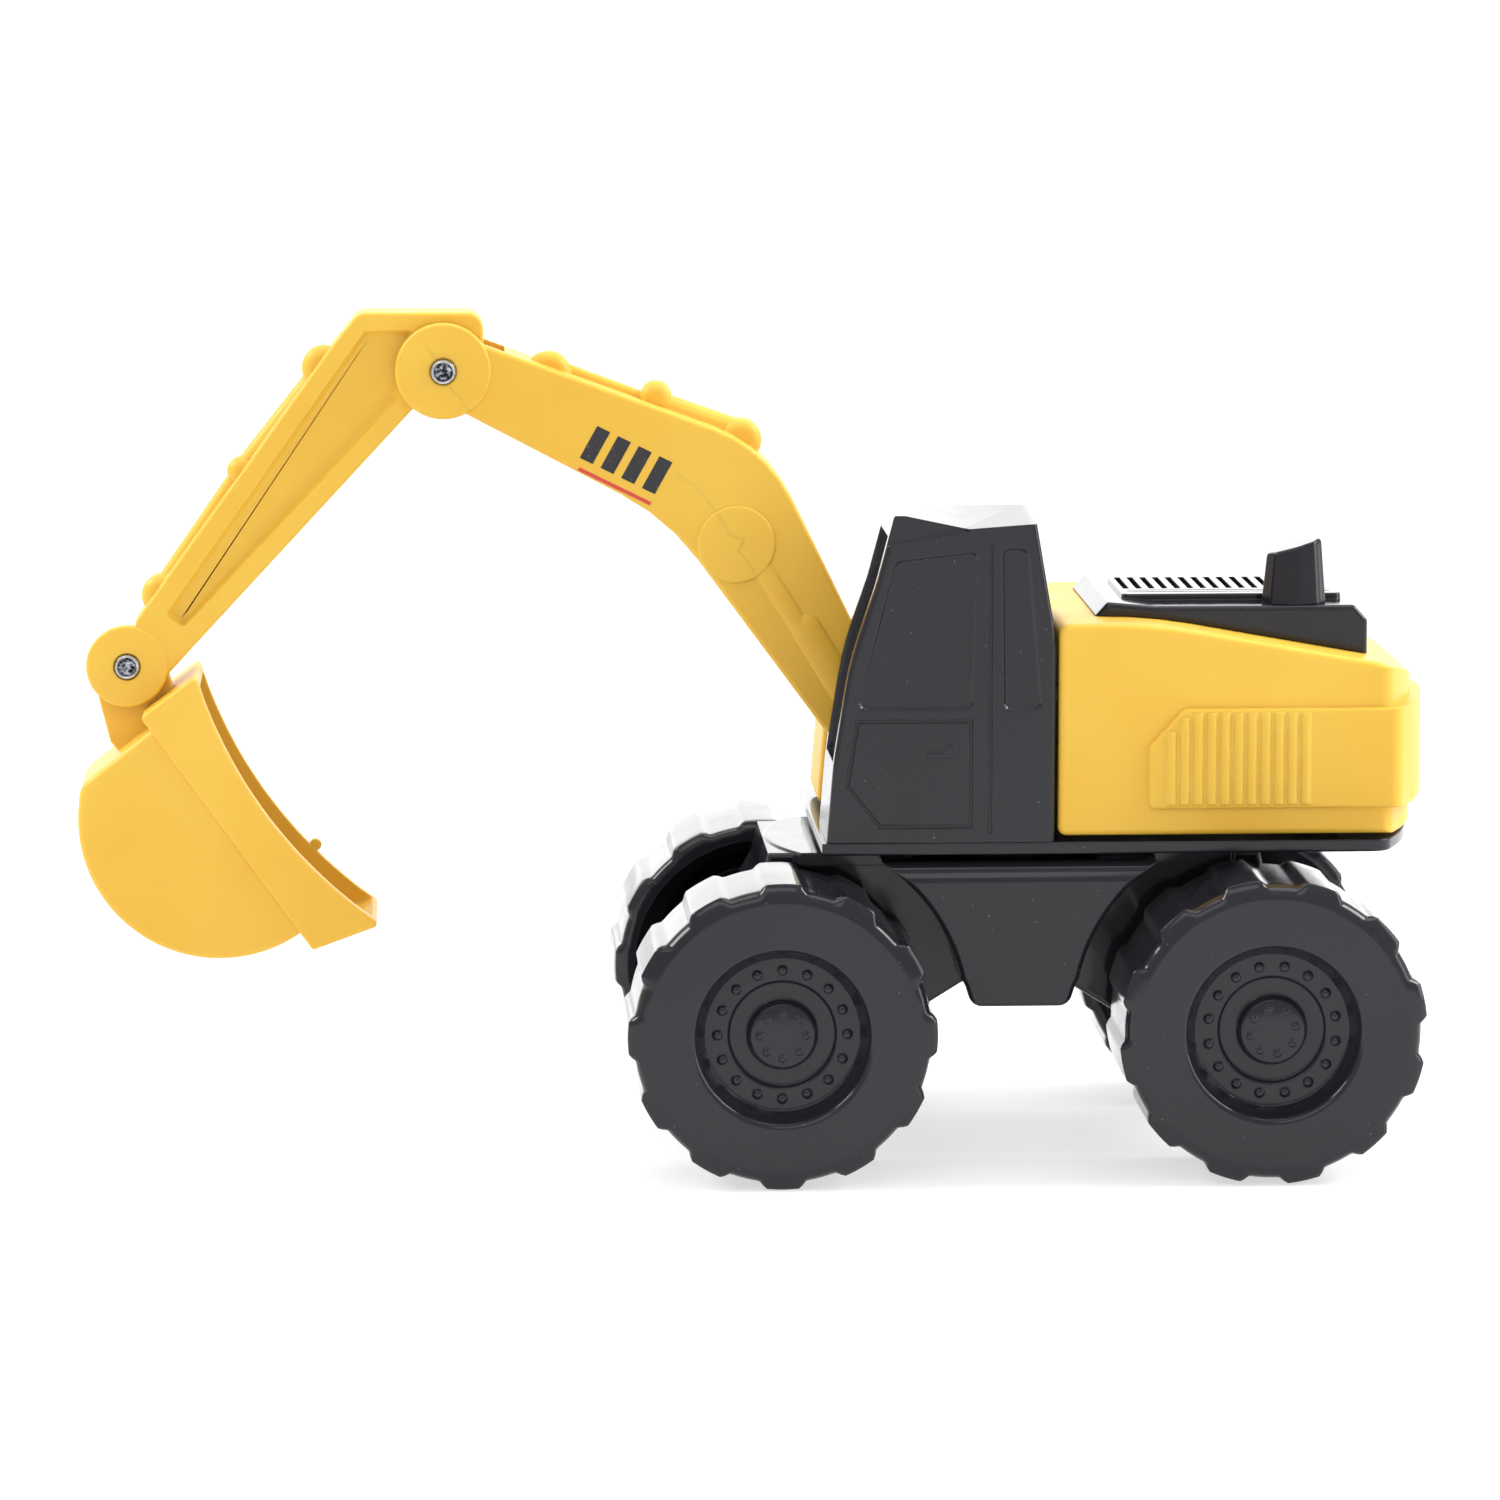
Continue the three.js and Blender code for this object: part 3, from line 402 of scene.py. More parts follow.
def moulded_plastic(name, tone, deep_tone, edge_tone, roughness, grain, ripple, sheen_dust, wear,
                    edge=0.0004):
    """Injection-moulded plastic: clouded colour, slight ripple, fine grain, worn edges and dust specks."""
    g = Graph(name)
    normal, near_edge = g.soft_edges(edge)
    clouds = g.spread(g.noise(22, 2), 0.35, 0.65, 0, 1)
    colour = g.mix(clouds, tone, deep_tone)
    rubbed = g.math("MULTIPLY", near_edge, g.spread(g.noise(260, 4), 0.42, 0.62, 0.05, wear))
    colour = g.mix(rubbed, colour, edge_tone)
    specks = g.spread(g.noise(1400, 1, 0.3), 0.8, 0.82, 0, sheen_dust)
    colour = g.mix(specks, colour, (0.75, 0.74, 0.72, 1))
    g.link(colour, g.shader.inputs["Base Color"])
    scuffs = g.spread(g.noise(90, 5, 0.6), 0.35, 0.7, roughness - 0.04, roughness + 0.07)
    g.link(g.math("ADD", scuffs, g.math("MULTIPLY", rubbed, 0.12)), g.shader.inputs["Roughness"])
    wavy = g.bump(g.noise(38, 1), ripple, normal)
    g.link(g.bump(g.noise(5200, 2), grain, wavy), g.shader.inputs["Normal"])
    return g


def yellow_plastic():
    g = moulded_plastic(
        "yellow_plastic", linear(230, 187, 69), linear(226, 177, 56), linear(240, 208, 110),
        roughness=0.44, grain=0.000003, ripple=0.00006, sheen_dust=0.0, wear=0.6,
    )
    g.shader.inputs["Subsurface Weight"].default_value = 0.12
    g.shader.inputs["Subsurface Radius"].default_value = (1.0, 0.5, 0.1)
    g.shader.inputs["Subsurface Scale"].default_value = 0.002
    g.shader.inputs["Specular IOR Level"].default_value = 0.35
    g.shader.inputs["Coat Weight"].default_value = 0.08
    g.shader.inputs["Coat Roughness"].default_value = 0.25
    return g.material


def black_plastic(name, tone, roughness, ripple):
    g = moulded_plastic(
        name, linear(*tone), linear(*[c + 5 for c in tone]), linear(78, 78, 80),
        roughness=roughness, grain=0.0000002, ripple=ripple, sheen_dust=0.12, wear=0.25,
    )
    g.shader.inputs["Specular IOR Level"].default_value = 0.37
    return g.material


def brushed_steel(name, tone, roughness):
    g = Graph(name)
    normal, near_edge = g.soft_edges(0.0001)
    streaks = g.noise(700, 4, 0.6, stretch=(1, 6, 1))
    colour = g.mix(g.spread(streaks, 0.3, 0.7, 0, 1), linear(*tone), linear(*[c * 0.7 for c in tone]))
    g.link(g.mix(near_edge, colour, linear(235, 236, 238)), g.shader.inputs["Base Color"])
    g.link(g.spread(streaks, 0.3, 0.7, roughness - 0.08, roughness + 0.1), g.shader.inputs["Roughness"])
    g.shader.inputs["Metallic"].default_value = 1.0
    g.link(g.bump(streaks, 0.000012, normal), g.shader.inputs["Normal"])
    return g.material


def shaded_hollow_steel(name):
    """The inside of a hollow rivet: dark metal that is painted shade of the hollow, with small bright flakes that are
    painted reflections; the same flakes also roughen and bump the surface.
    """
    g = Graph(name)
    flakes_and_glints = g.noise(1300, 3, 0.6)
    # painted shade and painted reflection: a dark base for the shade in the hollow, bright flakes for its glints
    colour = g.mix(g.spread(flakes_and_glints, 0.42, 0.62, 0, 1), linear(38, 38, 44), linear(196, 200, 210))
    g.link(colour, g.shader.inputs["Base Color"])
    g.link(g.spread(flakes_and_glints, 0.3, 0.7, 0.5, 0.25), g.shader.inputs["Roughness"])
    g.shader.inputs["Metallic"].default_value = 1.0
    normal, _ = g.soft_edges(0.0001)
    g.link(g.bump(flakes_and_glints, 0.0003, normal), g.shader.inputs["Normal"])
    return g.material


def print_ink(name, tone):
    """Pad-printed ink: slightly uneven and worn through in tiny spots."""
    g = Graph(name)
    patches = g.spread(g.noise(1500, 3), 0.62, 0.72, 0, 0.12)
    g.link(g.mix(patches, linear(*tone), linear(226, 176, 80)), g.shader.inputs["Base Color"])
    g.link(g.spread(g.noise(500, 3), 0.3, 0.7, 0.35, 0.5), g.shader.inputs["Roughness"])
    return g.material


YELLOW = yellow_plastic()
BLACK = black_plastic("black_plastic", (30, 29, 35), 0.1, 0.00012)
TYRE = black_plastic("tyre_plastic", (30, 29, 35), 0.12, 0.00005)
STEEL = brushed_steel("bright_steel", (205, 207, 212), 0.24)
# the rivet hollows' material: painted shade with painted reflections
SHADED_HOLLOW_STEEL = shaded_hollow_steel("rivet_hollow_painted_shade")
BLACK_INK = print_ink("black_ink", (34, 33, 38))
RED_INK = print_ink("red_ink", (205, 66, 54))

# ---------------------------------------------------------------- pieces

SMOOTH_LIMIT = math.radians(32)


def piece(name, mesh, body, look, stands_for=()):
    """Puts a finished mesh into the scene as a piece that rides on a CAD body."""
    mesh.name = name
    mesh.materials.clear()
    mesh.materials.append(look)
    mesh.polygons.foreach_set("use_smooth", [True] * len(mesh.polygons))
    mesh.set_sharp_from_angle(angle=SMOOTH_LIMIT)
    item = bpy.data.objects.new(name, mesh)
    bpy.context.scene.collection.objects.link(item)
    weighted = item.modifiers.new("face_weighted_shading", "WEIGHTED_NORMAL")
    weighted.keep_sharp = True
    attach(item, body)
    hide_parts(*stands_for)
    return item


# ---------------------------------------------------------------- wheels

# (depth behind the outer face, radius between the lugs, radius on the lugs), from the hub's
# middle out over the tread and back into the open rear of the wheel
HUB_PROFILE = [
    (2.6, 0), (2.6, 5.3), (2.75, 5.8), (3.2, 6.15), (4.5, 6.3), (4.8, 6.7), (4.8, 9.2),
    (4.65, 9.6), (4.25, 9.8), (4.0, 10.2), (4.0, 13.7), (3.8, 14.2), (3.2, 14.6), (1.6, 15.5),
    (0.6, 16.0), (0.15, 16.5), (0, 17.1), (0, 24.7), (0.1, 25.3),
]
TREAD_PROFILE = [
    (0.3, 25.9, 26.2), (0.55, 26.35, 27.2), (0.9, 26.65, 27.9), (1.35, 26.95, 28.35),
    (2, 27.2, 28.36), (3, 27.3, 28.36), (14, 27.3, 28.36), (26.2, 27.3, 28.36), (27.2, 27.1, 28.1),
    (27.75, 26.7, 27.4), (28, 26.2, 26.6),
]
REAR_PROFILE = [
    (28, 24.9), (27.8, 24.4), (27, 24.2), (3.6, 24.0), (3, 23.4), (3, 18.9), (3.5, 18.3),
    (6.5, 16.8), (7, 16.1), (7, 6.5), (7.5, 6.1), (27.6, 5.9), (28, 5.5), (28, 2.1), (27.7, 1.7),
    (8, 1.65), (8, 0),
]
REAR_WHEEL_TURN = 12
LUG_TOP_TURN = 6.0
LUG_FOOT_TURN = 9.6
STEPS_PER_LUG = 20


def lug_height(turn):
    """From 0 between the lugs to 1 on a lug, for a turn in degrees from the lowest point."""
    pitch = 360 / LUG_COUNT
    offset = abs((turn + pitch / 2) % pitch - pitch / 2)
    t = min(max((LUG_FOOT_TURN - offset) / (LUG_FOOT_TURN - LUG_TOP_TURN), 0), 1)
    return t * t * (3 - 2 * t)


def bolt_domes(x, side, count, circle, radius, floor_depth, height, first_turn):
    """Bead-like bolt heads on a circle of the hub."""
    domes = []
    for i in range(count):
        turn = math.radians(first_turn + i * 360 / count)
        at = (x + circle * math.cos(turn), WHEEL_RADIUS + circle * math.sin(turn))
        profile = [(0, floor_depth + 0.4), (radius, floor_depth + 0.4), (radius, floor_depth)]
        for k in range(1, 5):
            lift = math.pi / 2 * k / 4
            profile.append((radius * math.cos(lift), floor_depth - height * math.sin(lift)))
        domes.append(turned_y([(r, side * (WHEEL_FACE_Y - d)) for r, d in profile], at, 14))
    return domes


def wheel(end, side_name, body):
    x = -AXLE_X if end == "front" else AXLE_X
    side = -1 if side_name == "left" else 1
    phase = 0 if end == "front" else REAR_WHEEL_TURN
    steps = LUG_COUNT * STEPS_PER_LUG
    profile = [(d, r, r) for d, r in HUB_PROFILE] + TREAD_PROFILE + [(d, r, r) for d, r in REAR_PROFILE]
    rings = []
    for depth, valley, lug in profile:
        ring = []
        for i in range(steps):
            turn = 360 * i / steps
            radius = max(valley + (lug - valley) * lug_height(turn - phase), 1e-5)
            angle = math.radians(turn - 90)
            ring.append((x + radius * math.cos(angle), side * (WHEEL_FACE_Y - depth),
                         WHEEL_RADIUS + radius * math.sin(angle)))
        rings.append(ring)
    bolts = bolt_domes(x, side, 16, 11.9, 0.95, 4.0, 0.65, phase)
    bolts += bolt_domes(x, side, 8, 4.2, 0.75, 2.6, 0.4, phase)
    name = f"wheel_{end}_{side_name}"
    piece(f"{name}_skin", gathered([skin(rings)] + bolts), body, TYRE, [name])


for end in ("front", "rear"):
    gear = f"{end}_wheelset"
    wheel(end, "left", gear)
    wheel(end, "right", gear)
    axle_x = -AXLE_X if end == "front" else AXLE_X
    axle = turned_y([(0, -43.7), (1.2, -43.7), (1.5, -43.3), (1.5, 43.3), (1.2, 43.7), (0, 43.7)],
                    (axle_x, WHEEL_RADIUS), 24)
    piece(f"axle_{end}_skin", axle, gear, STEEL, [f"axle_{end}"])

# ---------------------------------------------------------------- chassis


def front_and_back(points):
    """An outline's front half followed by its mirror image in x, in order round the outline."""
    return points + [(-p[0], *p[1:]) for p in reversed(points)]


CARRIER = front_and_back([
    (-46, CHASSIS_TOP - 0.4, 0), (-47.3, 52, 6), (-54, 40, 6), (-54.5, 23.5, 4), (-24.6, 23.5, 3), (-9.5, BELLY_HEIGHT + 1.6, 1.5),
])


def skirt_outline(inward, low):
    """The skirt between the wheels: its ends run concentric with the wheels."""
    end = arc((-AXLE_X, WHEEL_RADIUS), ARCH_RADIUS + inward, 56.5, 12, 28)
    foot = [(-10.2 + inward * 1.1, BELLY_HEIGHT + 3.2, 0), (-9 + inward, low, 2.6), (7.6, low, 0)]
    return front_and_back(end + rounded([(*end[-1], 0)] + foot)[1:-1])


def skirt_section(half, low, high, turn):
    """The skirt seen from the front: upright sides that turn over at the top with a wide round."""
    right = [(-half, low)] + arc((turn - half, high - turn), turn, 180, 90, 10)
    section = right + [(-y, z) for y, z in reversed(right)]
    return skin([[(x, y, z) for y, z in section] for x in (-40, 40)])


def chassis_shell():
    carrier = plate_y(rounded(CARRIER), -CARRIER_HALF, CARRIER_HALF, 0.9)
    room = plate_y(rounded(inset(CARRIER, 2)), 2 - CARRIER_HALF, CARRIER_HALF - 2)
    mouth = plate_y([(u, v - 3) for u, v in rounded(inset(CARRIER, 2))], 2 - CARRIER_HALF, CARRIER_HALF - 2)
    skirt = common(
        plate_y(skirt_outline(0, SKIRT_LOW), -SKIRT_HALF, SKIRT_HALF, 1.0),
        skirt_section(SKIRT_HALF + 0.01, BELLY_HEIGHT - 5, CHASSIS_TOP - 0.2, 4),
    )
    skirt_room = common(
        plate_y(skirt_outline(2, BELLY_HEIGHT - 1), 2 - SKIRT_HALF, SKIRT_HALF - 2),
        skirt_section(SKIRT_HALF - 1.5, BELLY_HEIGHT - 6, CHASSIS_TOP - 2.6, 3),
    )
    top = common(
        upright_rod(0, 0, 46, CHASSIS_TOP - 2.5, CHASSIS_TOP, 0.6),
        box((-60, 60), (-22, 22), (50, 60)),
    )
    holes = [cross_rod((x, WHEEL_RADIUS), 1.8, -CARRIER_HALF - 1, CARRIER_HALF + 1) for x in (-AXLE_X, AXLE_X)]
    whole = joined(carrier, skirt, top)
    return cut(whole, room, mouth, skirt_room, upright_rod(0, 0, 8.6, 50, 60), *holes)


def chassis_base():
    half = [(-52, 23.5, 0), (-24.6, 23.5, 3), (-9.5, BELLY_HEIGHT + 1.6, 1.5)]
    lower = front_and_back(half)
    upper = [(u, v + 2.2, r) for u, v, r in reversed(lower)]
    strip = plate_y(rounded(lower + upper), -17.7, 17.7, 0.3)
    cross = box((-5.3, 5.3), (-31.6, 31.6), (BELLY_HEIGHT, BELLY_HEIGHT + 2.2), 0.3)
    seats = [upright_rod(x, y, 2.9, 20, 24.7) for x in (-32, 32) for y in (-10, 10)]
    return cut(joined(strip, cross), *seats)


piece("chassis_shell_skin", chassis_shell(), "chassis", BLACK, ["chassis_shell"])
piece("chassis_base_skin", chassis_base(), "chassis", BLACK, ["chassis_base"])


def screw_mesh(node, head_radius, head_height):
    """A pan-head screw pointing up, with a cross recess in its head."""
    low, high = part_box(node)
    x, y = [(a + b) / 2 / MM for a, b in zip(low[:2], high[:2])]
    foot, tip = low.z / MM + BELLY_HEIGHT, high.z / MM + BELLY_HEIGHT
    head = foot + head_height
    shank = 1.3
    profile = [(0, foot), (head_radius * 0.72, foot + 0.05), (head_radius * 0.94, foot + 0.3),
               (head_radius, foot + 0.6), (head_radius, head), (shank, head)]
    pitch = 1.1
    z = head + 1
    while z < tip - 2:
        profile += [(shank, z), (shank - 0.25, z + pitch / 2)]
        z += pitch
    profile += [(shank - 0.2, tip - 1), (0, tip)]
    arm = head_radius * 0.55
    recess = [box((x - a, x + a), (y - b, y + b), (foot - 1, foot + 0.6)) for a, b in ((arm, 0.3), (0.3, arm))]
    return cut(turned_z(profile, x, y, 32), *recess)


for node in sorted(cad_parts):
    if "_screw" in node:
        radius, height, body = (2.5, 1.0, "chassis") if node.startswith("chassis") else (2.5, 0.9, "turret")
        if node == "swivel_screw":
            radius, height = 3.4, 1.9
        piece(f"{node}_skin", screw_mesh(node, radius, height), body, STEEL, [node])

# ---------------------------------------------------------------- turret: deck and swivel


def plan_outline(front, half, rear_radius, corner_radius):
    """A plan with straight front and sides, a rear arc about the swivel axis and turned rear corners."""
    reach = half - corner_radius
    turn = math.degrees(math.asin(reach / (rear_radius - corner_radius)))
    x = math.sqrt((rear_radius - corner_radius) ** 2 - reach ** 2)
    near = arc((x, -reach), corner_radius, -90, -turn, 8)
    far = arc((x, reach), corner_radius, turn, 90, 8)
    return [(front, -half)] + near + arc((0, 0), rear_radius, -turn, turn, 40)[1:-1] + far + [(front, half)]


def turret_deck():
    plate = plate_z(plan_outline(-36.8, TURRET_HALF, 75.5, 4), DECK_LOW, DECK_HIGH, 0.5, 0.15)
    boss = upright_rod(0, 0, 8, CHASSIS_TOP - 2.8, DECK_HIGH - 1)
    pad = upright_rod(0, 0, 18, CHASSIS_TOP + 0.3, DECK_HIGH - 1)
    seats = [upright_rod(x, y, 2.9, 50, DECK_LOW + 1.1) for x, y in ((-28, -27), (-28, 27), (60, -20), (60, 20))]
    return cut(joined(plate, boss, pad), *seats)


piece("turret_deck_skin", turret_deck(), "turret", BLACK, ["turret_deck"])
washer = turned_z([(1.7, 53.8), (10.7, 53.8), (11, 54), (11, 54.7), (10.7, 54.9), (1.7, 54.9)], 0, 0)
piece("swivel_washer_skin", washer, "turret", STEEL, ["swivel_washer"])

# ---------------------------------------------------------------- turret: yellow body

BODY_SIDE = [
    (BODY_FRONT, BODY_LOW, 1.6), (80, BODY_LOW, 0), (80, 87.5, 0), (76.2, 87.5, 1), (73.5, 91.2, 3),
    (66.5, 94.3, 10), (24, 101.9, 100), (BODY_FRONT, 101.8, 2),
]
BAND_SIDE = [(23.5, BAND_LOW, 1.2), (90, BAND_LOW, 0), (90, BAND_HIGH, 0), (30, BAND_HIGH, 1.2), (23.5, 79, 1.2)]
SIDE_BOX = [(BOX_FRONT, BODY_LOW, 1.4), (8, BODY_LOW, 0), (8, 79, 0), (-33.8, 79, 2.5)]


def vent_ribs():
    """Half-round upright ribs on both sides of the band."""
    ribs = []
    for i in range(11):
        x = 27.6 + i * 2.5
        high = min(BAND_HIGH - 0.7, 79 + (x - 23.5) * 1.05 - 1.4)
        section = [(x + 0.95 * math.cos(a), -BAND_HALF + 0.12 - 0.62 * math.sin(a))
                   for a in (math.pi * k / 10 for k in range(11))]
        section += [(x - 0.95, 0.6 - BAND_HALF), (x + 0.95, 0.6 - BAND_HALF)]
        ribs.append(plate_z(section, BAND_LOW + 0.8, high, 0.25))
    return ribs


def body_shell():
    side = plate_y(rounded(BODY_SIDE), -TURRET_HALF, TURRET_HALF, 1.3)
    plan = plate_z(plan_outline(BODY_FRONT - 1, TURRET_HALF + 0.01, BODY_REAR_RADIUS, 3), 50, 120)
    band = plate_y(rounded(BAND_SIDE), -BAND_HALF, BAND_HALF, 0.7)
    band_plan = plate_z(plan_outline(0, BAND_HALF + 0.01, BAND_REAR_RADIUS, 3), 50, 120)
    toolbox = plate_y(rounded(SIDE_BOX), -CAB_INNER, TURRET_HALF, 1.0)
    pin_x, pin_z = BOOM_ROOT
    cheek_outline = [(pin_x - 9, BODY_LOW), (pin_x + 12, BODY_LOW)] + arc(BOOM_ROOT, 6.5, 10, 180, 24)
    cheeks = both_sides(plate_y(cheek_outline, BOOM_ROOT_HALF + 0.3, -CAB_INNER - 0.3, 0.3))
    floor = box((BOX_FRONT + 2, BODY_FRONT + 1), (-8.9, 9.9), (BODY_LOW, BODY_LOW + 1.6))
    shell = joined(common(side, plan), common(band, band_plan), toolbox, floor, *cheeks)
    ribs = vent_ribs()
    return gathered([shell] + ribs + [mirrored(r) for r in ribs])


piece("body_shell_skin", body_shell(), "turret", YELLOW, ["body_shell"])

# ---------------------------------------------------------------- turret: cab

CAB_SIDE = [
    (-36.2, CAB_LOW - 3, 0), (6.3, CAB_LOW - 3, 0), (6.4, 99, 40), (2.4, 122.2, 1.8), (-23.4, 122.7, 1.8),
    (-26.9, 109.3, 40), (-31.8, 94.7, 60), (-34.8, 75.7, 60),
]
SIDE_WINDOW = [(-30.6, 86, 1.5), (-9, 86, 1.5), (-8, 115.5, 1.5), (-23.5, 113.8, 2)]
REAR_WINDOW = [(-3.4, 85.8, 1.5), (3.9, 85.8, 1.5), (1.3, 116, 2), (-3.8, 116, 1.5)]
DOOR_PANEL = [(-26.4, 64, 0.5), (-9, 64, 0.5), (-9, 84.3, 0.5), (-30.6, 84.3, 0.5), (-32.6, 71.8, 0.5)]


def cab_recess(corners, depth):
    """A recess with sloping sides in the cab's outer face."""
    face = -TURRET_HALF
    outline = rounded(corners)
    rings = [(face - 1, 0), (face - 0.001, 0), (face + depth, depth * 1.1)]
    return skin([[(u, y, v) for u, v in shrunk(outline, d)] for y, d in rings])


def cab_groove(corners, width, depth):
    face = -TURRET_HALF
    outer = plate_y(rounded(corners), face - 1, face + depth)
    return cut(outer, plate_y(rounded(inset(corners, width)), face - 2, face + depth + 1))


def roof_cuts():
    """A small upright step over the near front corner of the roof, and the shallow valley behind it."""
    step = plate_y([(-33, 115), (-9.5, 119.2), (-23, 124.5), (-33, 125)], -36, -32.2)
    near = [(-40, 123), (-23.4, 122), (-10.7, 119.3), (1.6, 120.2), (10, 120.9), (10, 130), (-40, 130)]
    far = [(x, z if z == 130 else 121.6) for x, z in near]
    valley = skin([[(x, y, z) for x, z in line] for y, line in ((-36, near), (-8, far))])
    return [step, valley]


def front_x(z):
    """Where the cab's front face stands at a height."""
    line = rounded(CAB_SIDE)
    for (x0, z0), (x1, z1) in zip(line, line[1:] + line[:1]):
        if min(z0, z1) <= z <= max(z0, z1) and x0 < -20 and x1 < -20 and z0 != z1:
            return x0 + (x1 - x0) * (z - z0) / (z1 - z0)
    return CAB_SIDE[0][0]


def windscreen_recess():
    """A shallow panel in the cab's front face, inside a frame."""
    heights = [76 + 42 * k / 8 for k in range(9)]
    rings = []
    for z in heights:
        x = front_x(z)
        rings.append([(x - 3, -31, z), (x + 1.3, -30, z), (x + 1.3, -12.2, z), (x - 3, -11.9, z)])
    return skin(rings)


def cab_shell():
    shell = plate_y(rounded(CAB_SIDE), -TURRET_HALF, CAB_INNER, 1.0)
    tools = [
        box((-50, 20), (-50, 0), (40, CAB_LOW)),
        cab_recess(SIDE_WINDOW, 0.5),
        cab_recess(REAR_WINDOW, 0.5),
        cab_groove(DOOR_PANEL, 0.7, 0.45),
        plate_y(rectangle(-6.2, -5.4, 63, 117), -TURRET_HALF - 1, 0.45 - TURRET_HALF),
        *roof_cuts(),
        windscreen_recess(),
    ]
    shell = cut(shell, *tools)
    bar = box((-17.5, -12.6), (-TURRET_HALF - 0.4, 1 - TURRET_HALF), (77.2, 78.2), 0.2)
    knob = box((-14.3, -12.4), (-TURRET_HALF - 0.5, 1 - TURRET_HALF), (78.0, 79.6), 0.2)
    return joined(shell, bar, knob)


piece("cab_shell_skin", cab_shell(), "turret", BLACK, ["cab_shell"])

# ---------------------------------------------------------------- turret: engine cover, exhaust


def engine_cover():
    side = [(13.4, 94, 0), (65.5, 94, 0), (65.5, 100.9, 1.2), (63, COVER_TOP, 1.2), (25.5, COVER_TOP, 8),
            (16.9, COVER_TOP + 0.8, 1), (13.4, 100.6, 1.2)]
    shell = plate_y(rounded(side), -COVER_HALF, COVER_HALF, 0.9)
    roof = [(u, v + 0.15 if v > 90 else v, r) for u, v, r in BODY_SIDE]
    shell = cut(shell, plate_y(rounded(roof), -40, 40))
    raised = plate_z(rounded([(20.6, -12.4, 1.5), (61.8, -12.4, 1.5), (61.8, 15, 1.5), (20.6, 15, 1.5)]),
                     COVER_TOP - 1, COVER_TOP + 1.15, 0, 0.4)
    slots = []
    for i in range(12):
        x = 22.3 + i * 2.44
        slots.append(box((x - 0.6, x + 0.6), (-3.9, 13.7), (COVER_TOP - 0.6, COVER_TOP + 3)))
    grooves = [box((22, 60), (y - 0.35, y + 0.35), (COVER_TOP + 0.85, COVER_TOP + 3)) for y in (-6.4, -9)]
    return cut(joined(shell, raised), gathered(slots), *grooves)


def exhaust_stack():
    """A tapered oval with shallow flutes, cut off at a slant."""
    levels = [(0, 1.0, 0), (0.4, 0.995, 0), (9.6, 0.855, 1), (10.1, 0.83, 1), (10.4, 0.76, 1)]
    rings = []
    for height, scale, slanted in levels:
        ring = []
        for i in range(96):
            angle = 2 * math.pi * i / 96
            flute = 1 - 0.05 * (0.5 - 0.5 * math.cos(8 * angle))
            x = 6 * scale * flute * math.cos(angle)
            y = 4.2 * scale * flute * math.sin(angle)
            rise = (x + 6 * scale) / (12 * scale) * 2.6 - 1.0 if slanted else 0
            ring.append((EXHAUST_X + x, EXHAUST_Y + y, COVER_TOP + height + rise))
        rings.append(ring)
    return skin(rings)


piece("engine_cover_skin", engine_cover(), "turret", BLACK, ["engine_cover"])
piece("exhaust_stack_skin", exhaust_stack(), "turret", BLACK, ["exhaust_stack"])

# ---------------------------------------------------------------- arm


def moulded_ram(barrel, rod, bosses):
    """A raised copy of a ram along an edge: a barrel and a thinner rod (start, end, radius), and cross
    bosses (centre, radius) over their ends."""
    bars = [plate_y(capsule(*bar), -bar[2], bar[2], bar[2] - 0.1) for bar in (barrel, rod)]
    return bars + [plate_y(disc(at, radius), -3.4, 3.4, 2) for at, radius in bosses]


def ridge(start, end, radius, height, face):
    """A low round-backed ridge standing out of a face towards -Y."""
    rings = [[(u, face + 1, v) for u, v in capsule(start, end, radius)]]
    for k in range(8):
        lift = math.pi / 2 * k / 7
        reach = radius * max(math.cos(lift), 0.02)
        rings.append([(u, face - height * math.sin(lift), v) for u, v in capsule(start, end, reach)])
    return skin(rings)


def knit_line(points, face):
    """A hair-thin raised line where two flows of plastic met in the mould."""
    return gathered([ridge(a, b, 0.16, 0.02, face) for a, b in zip(points, points[1:])])


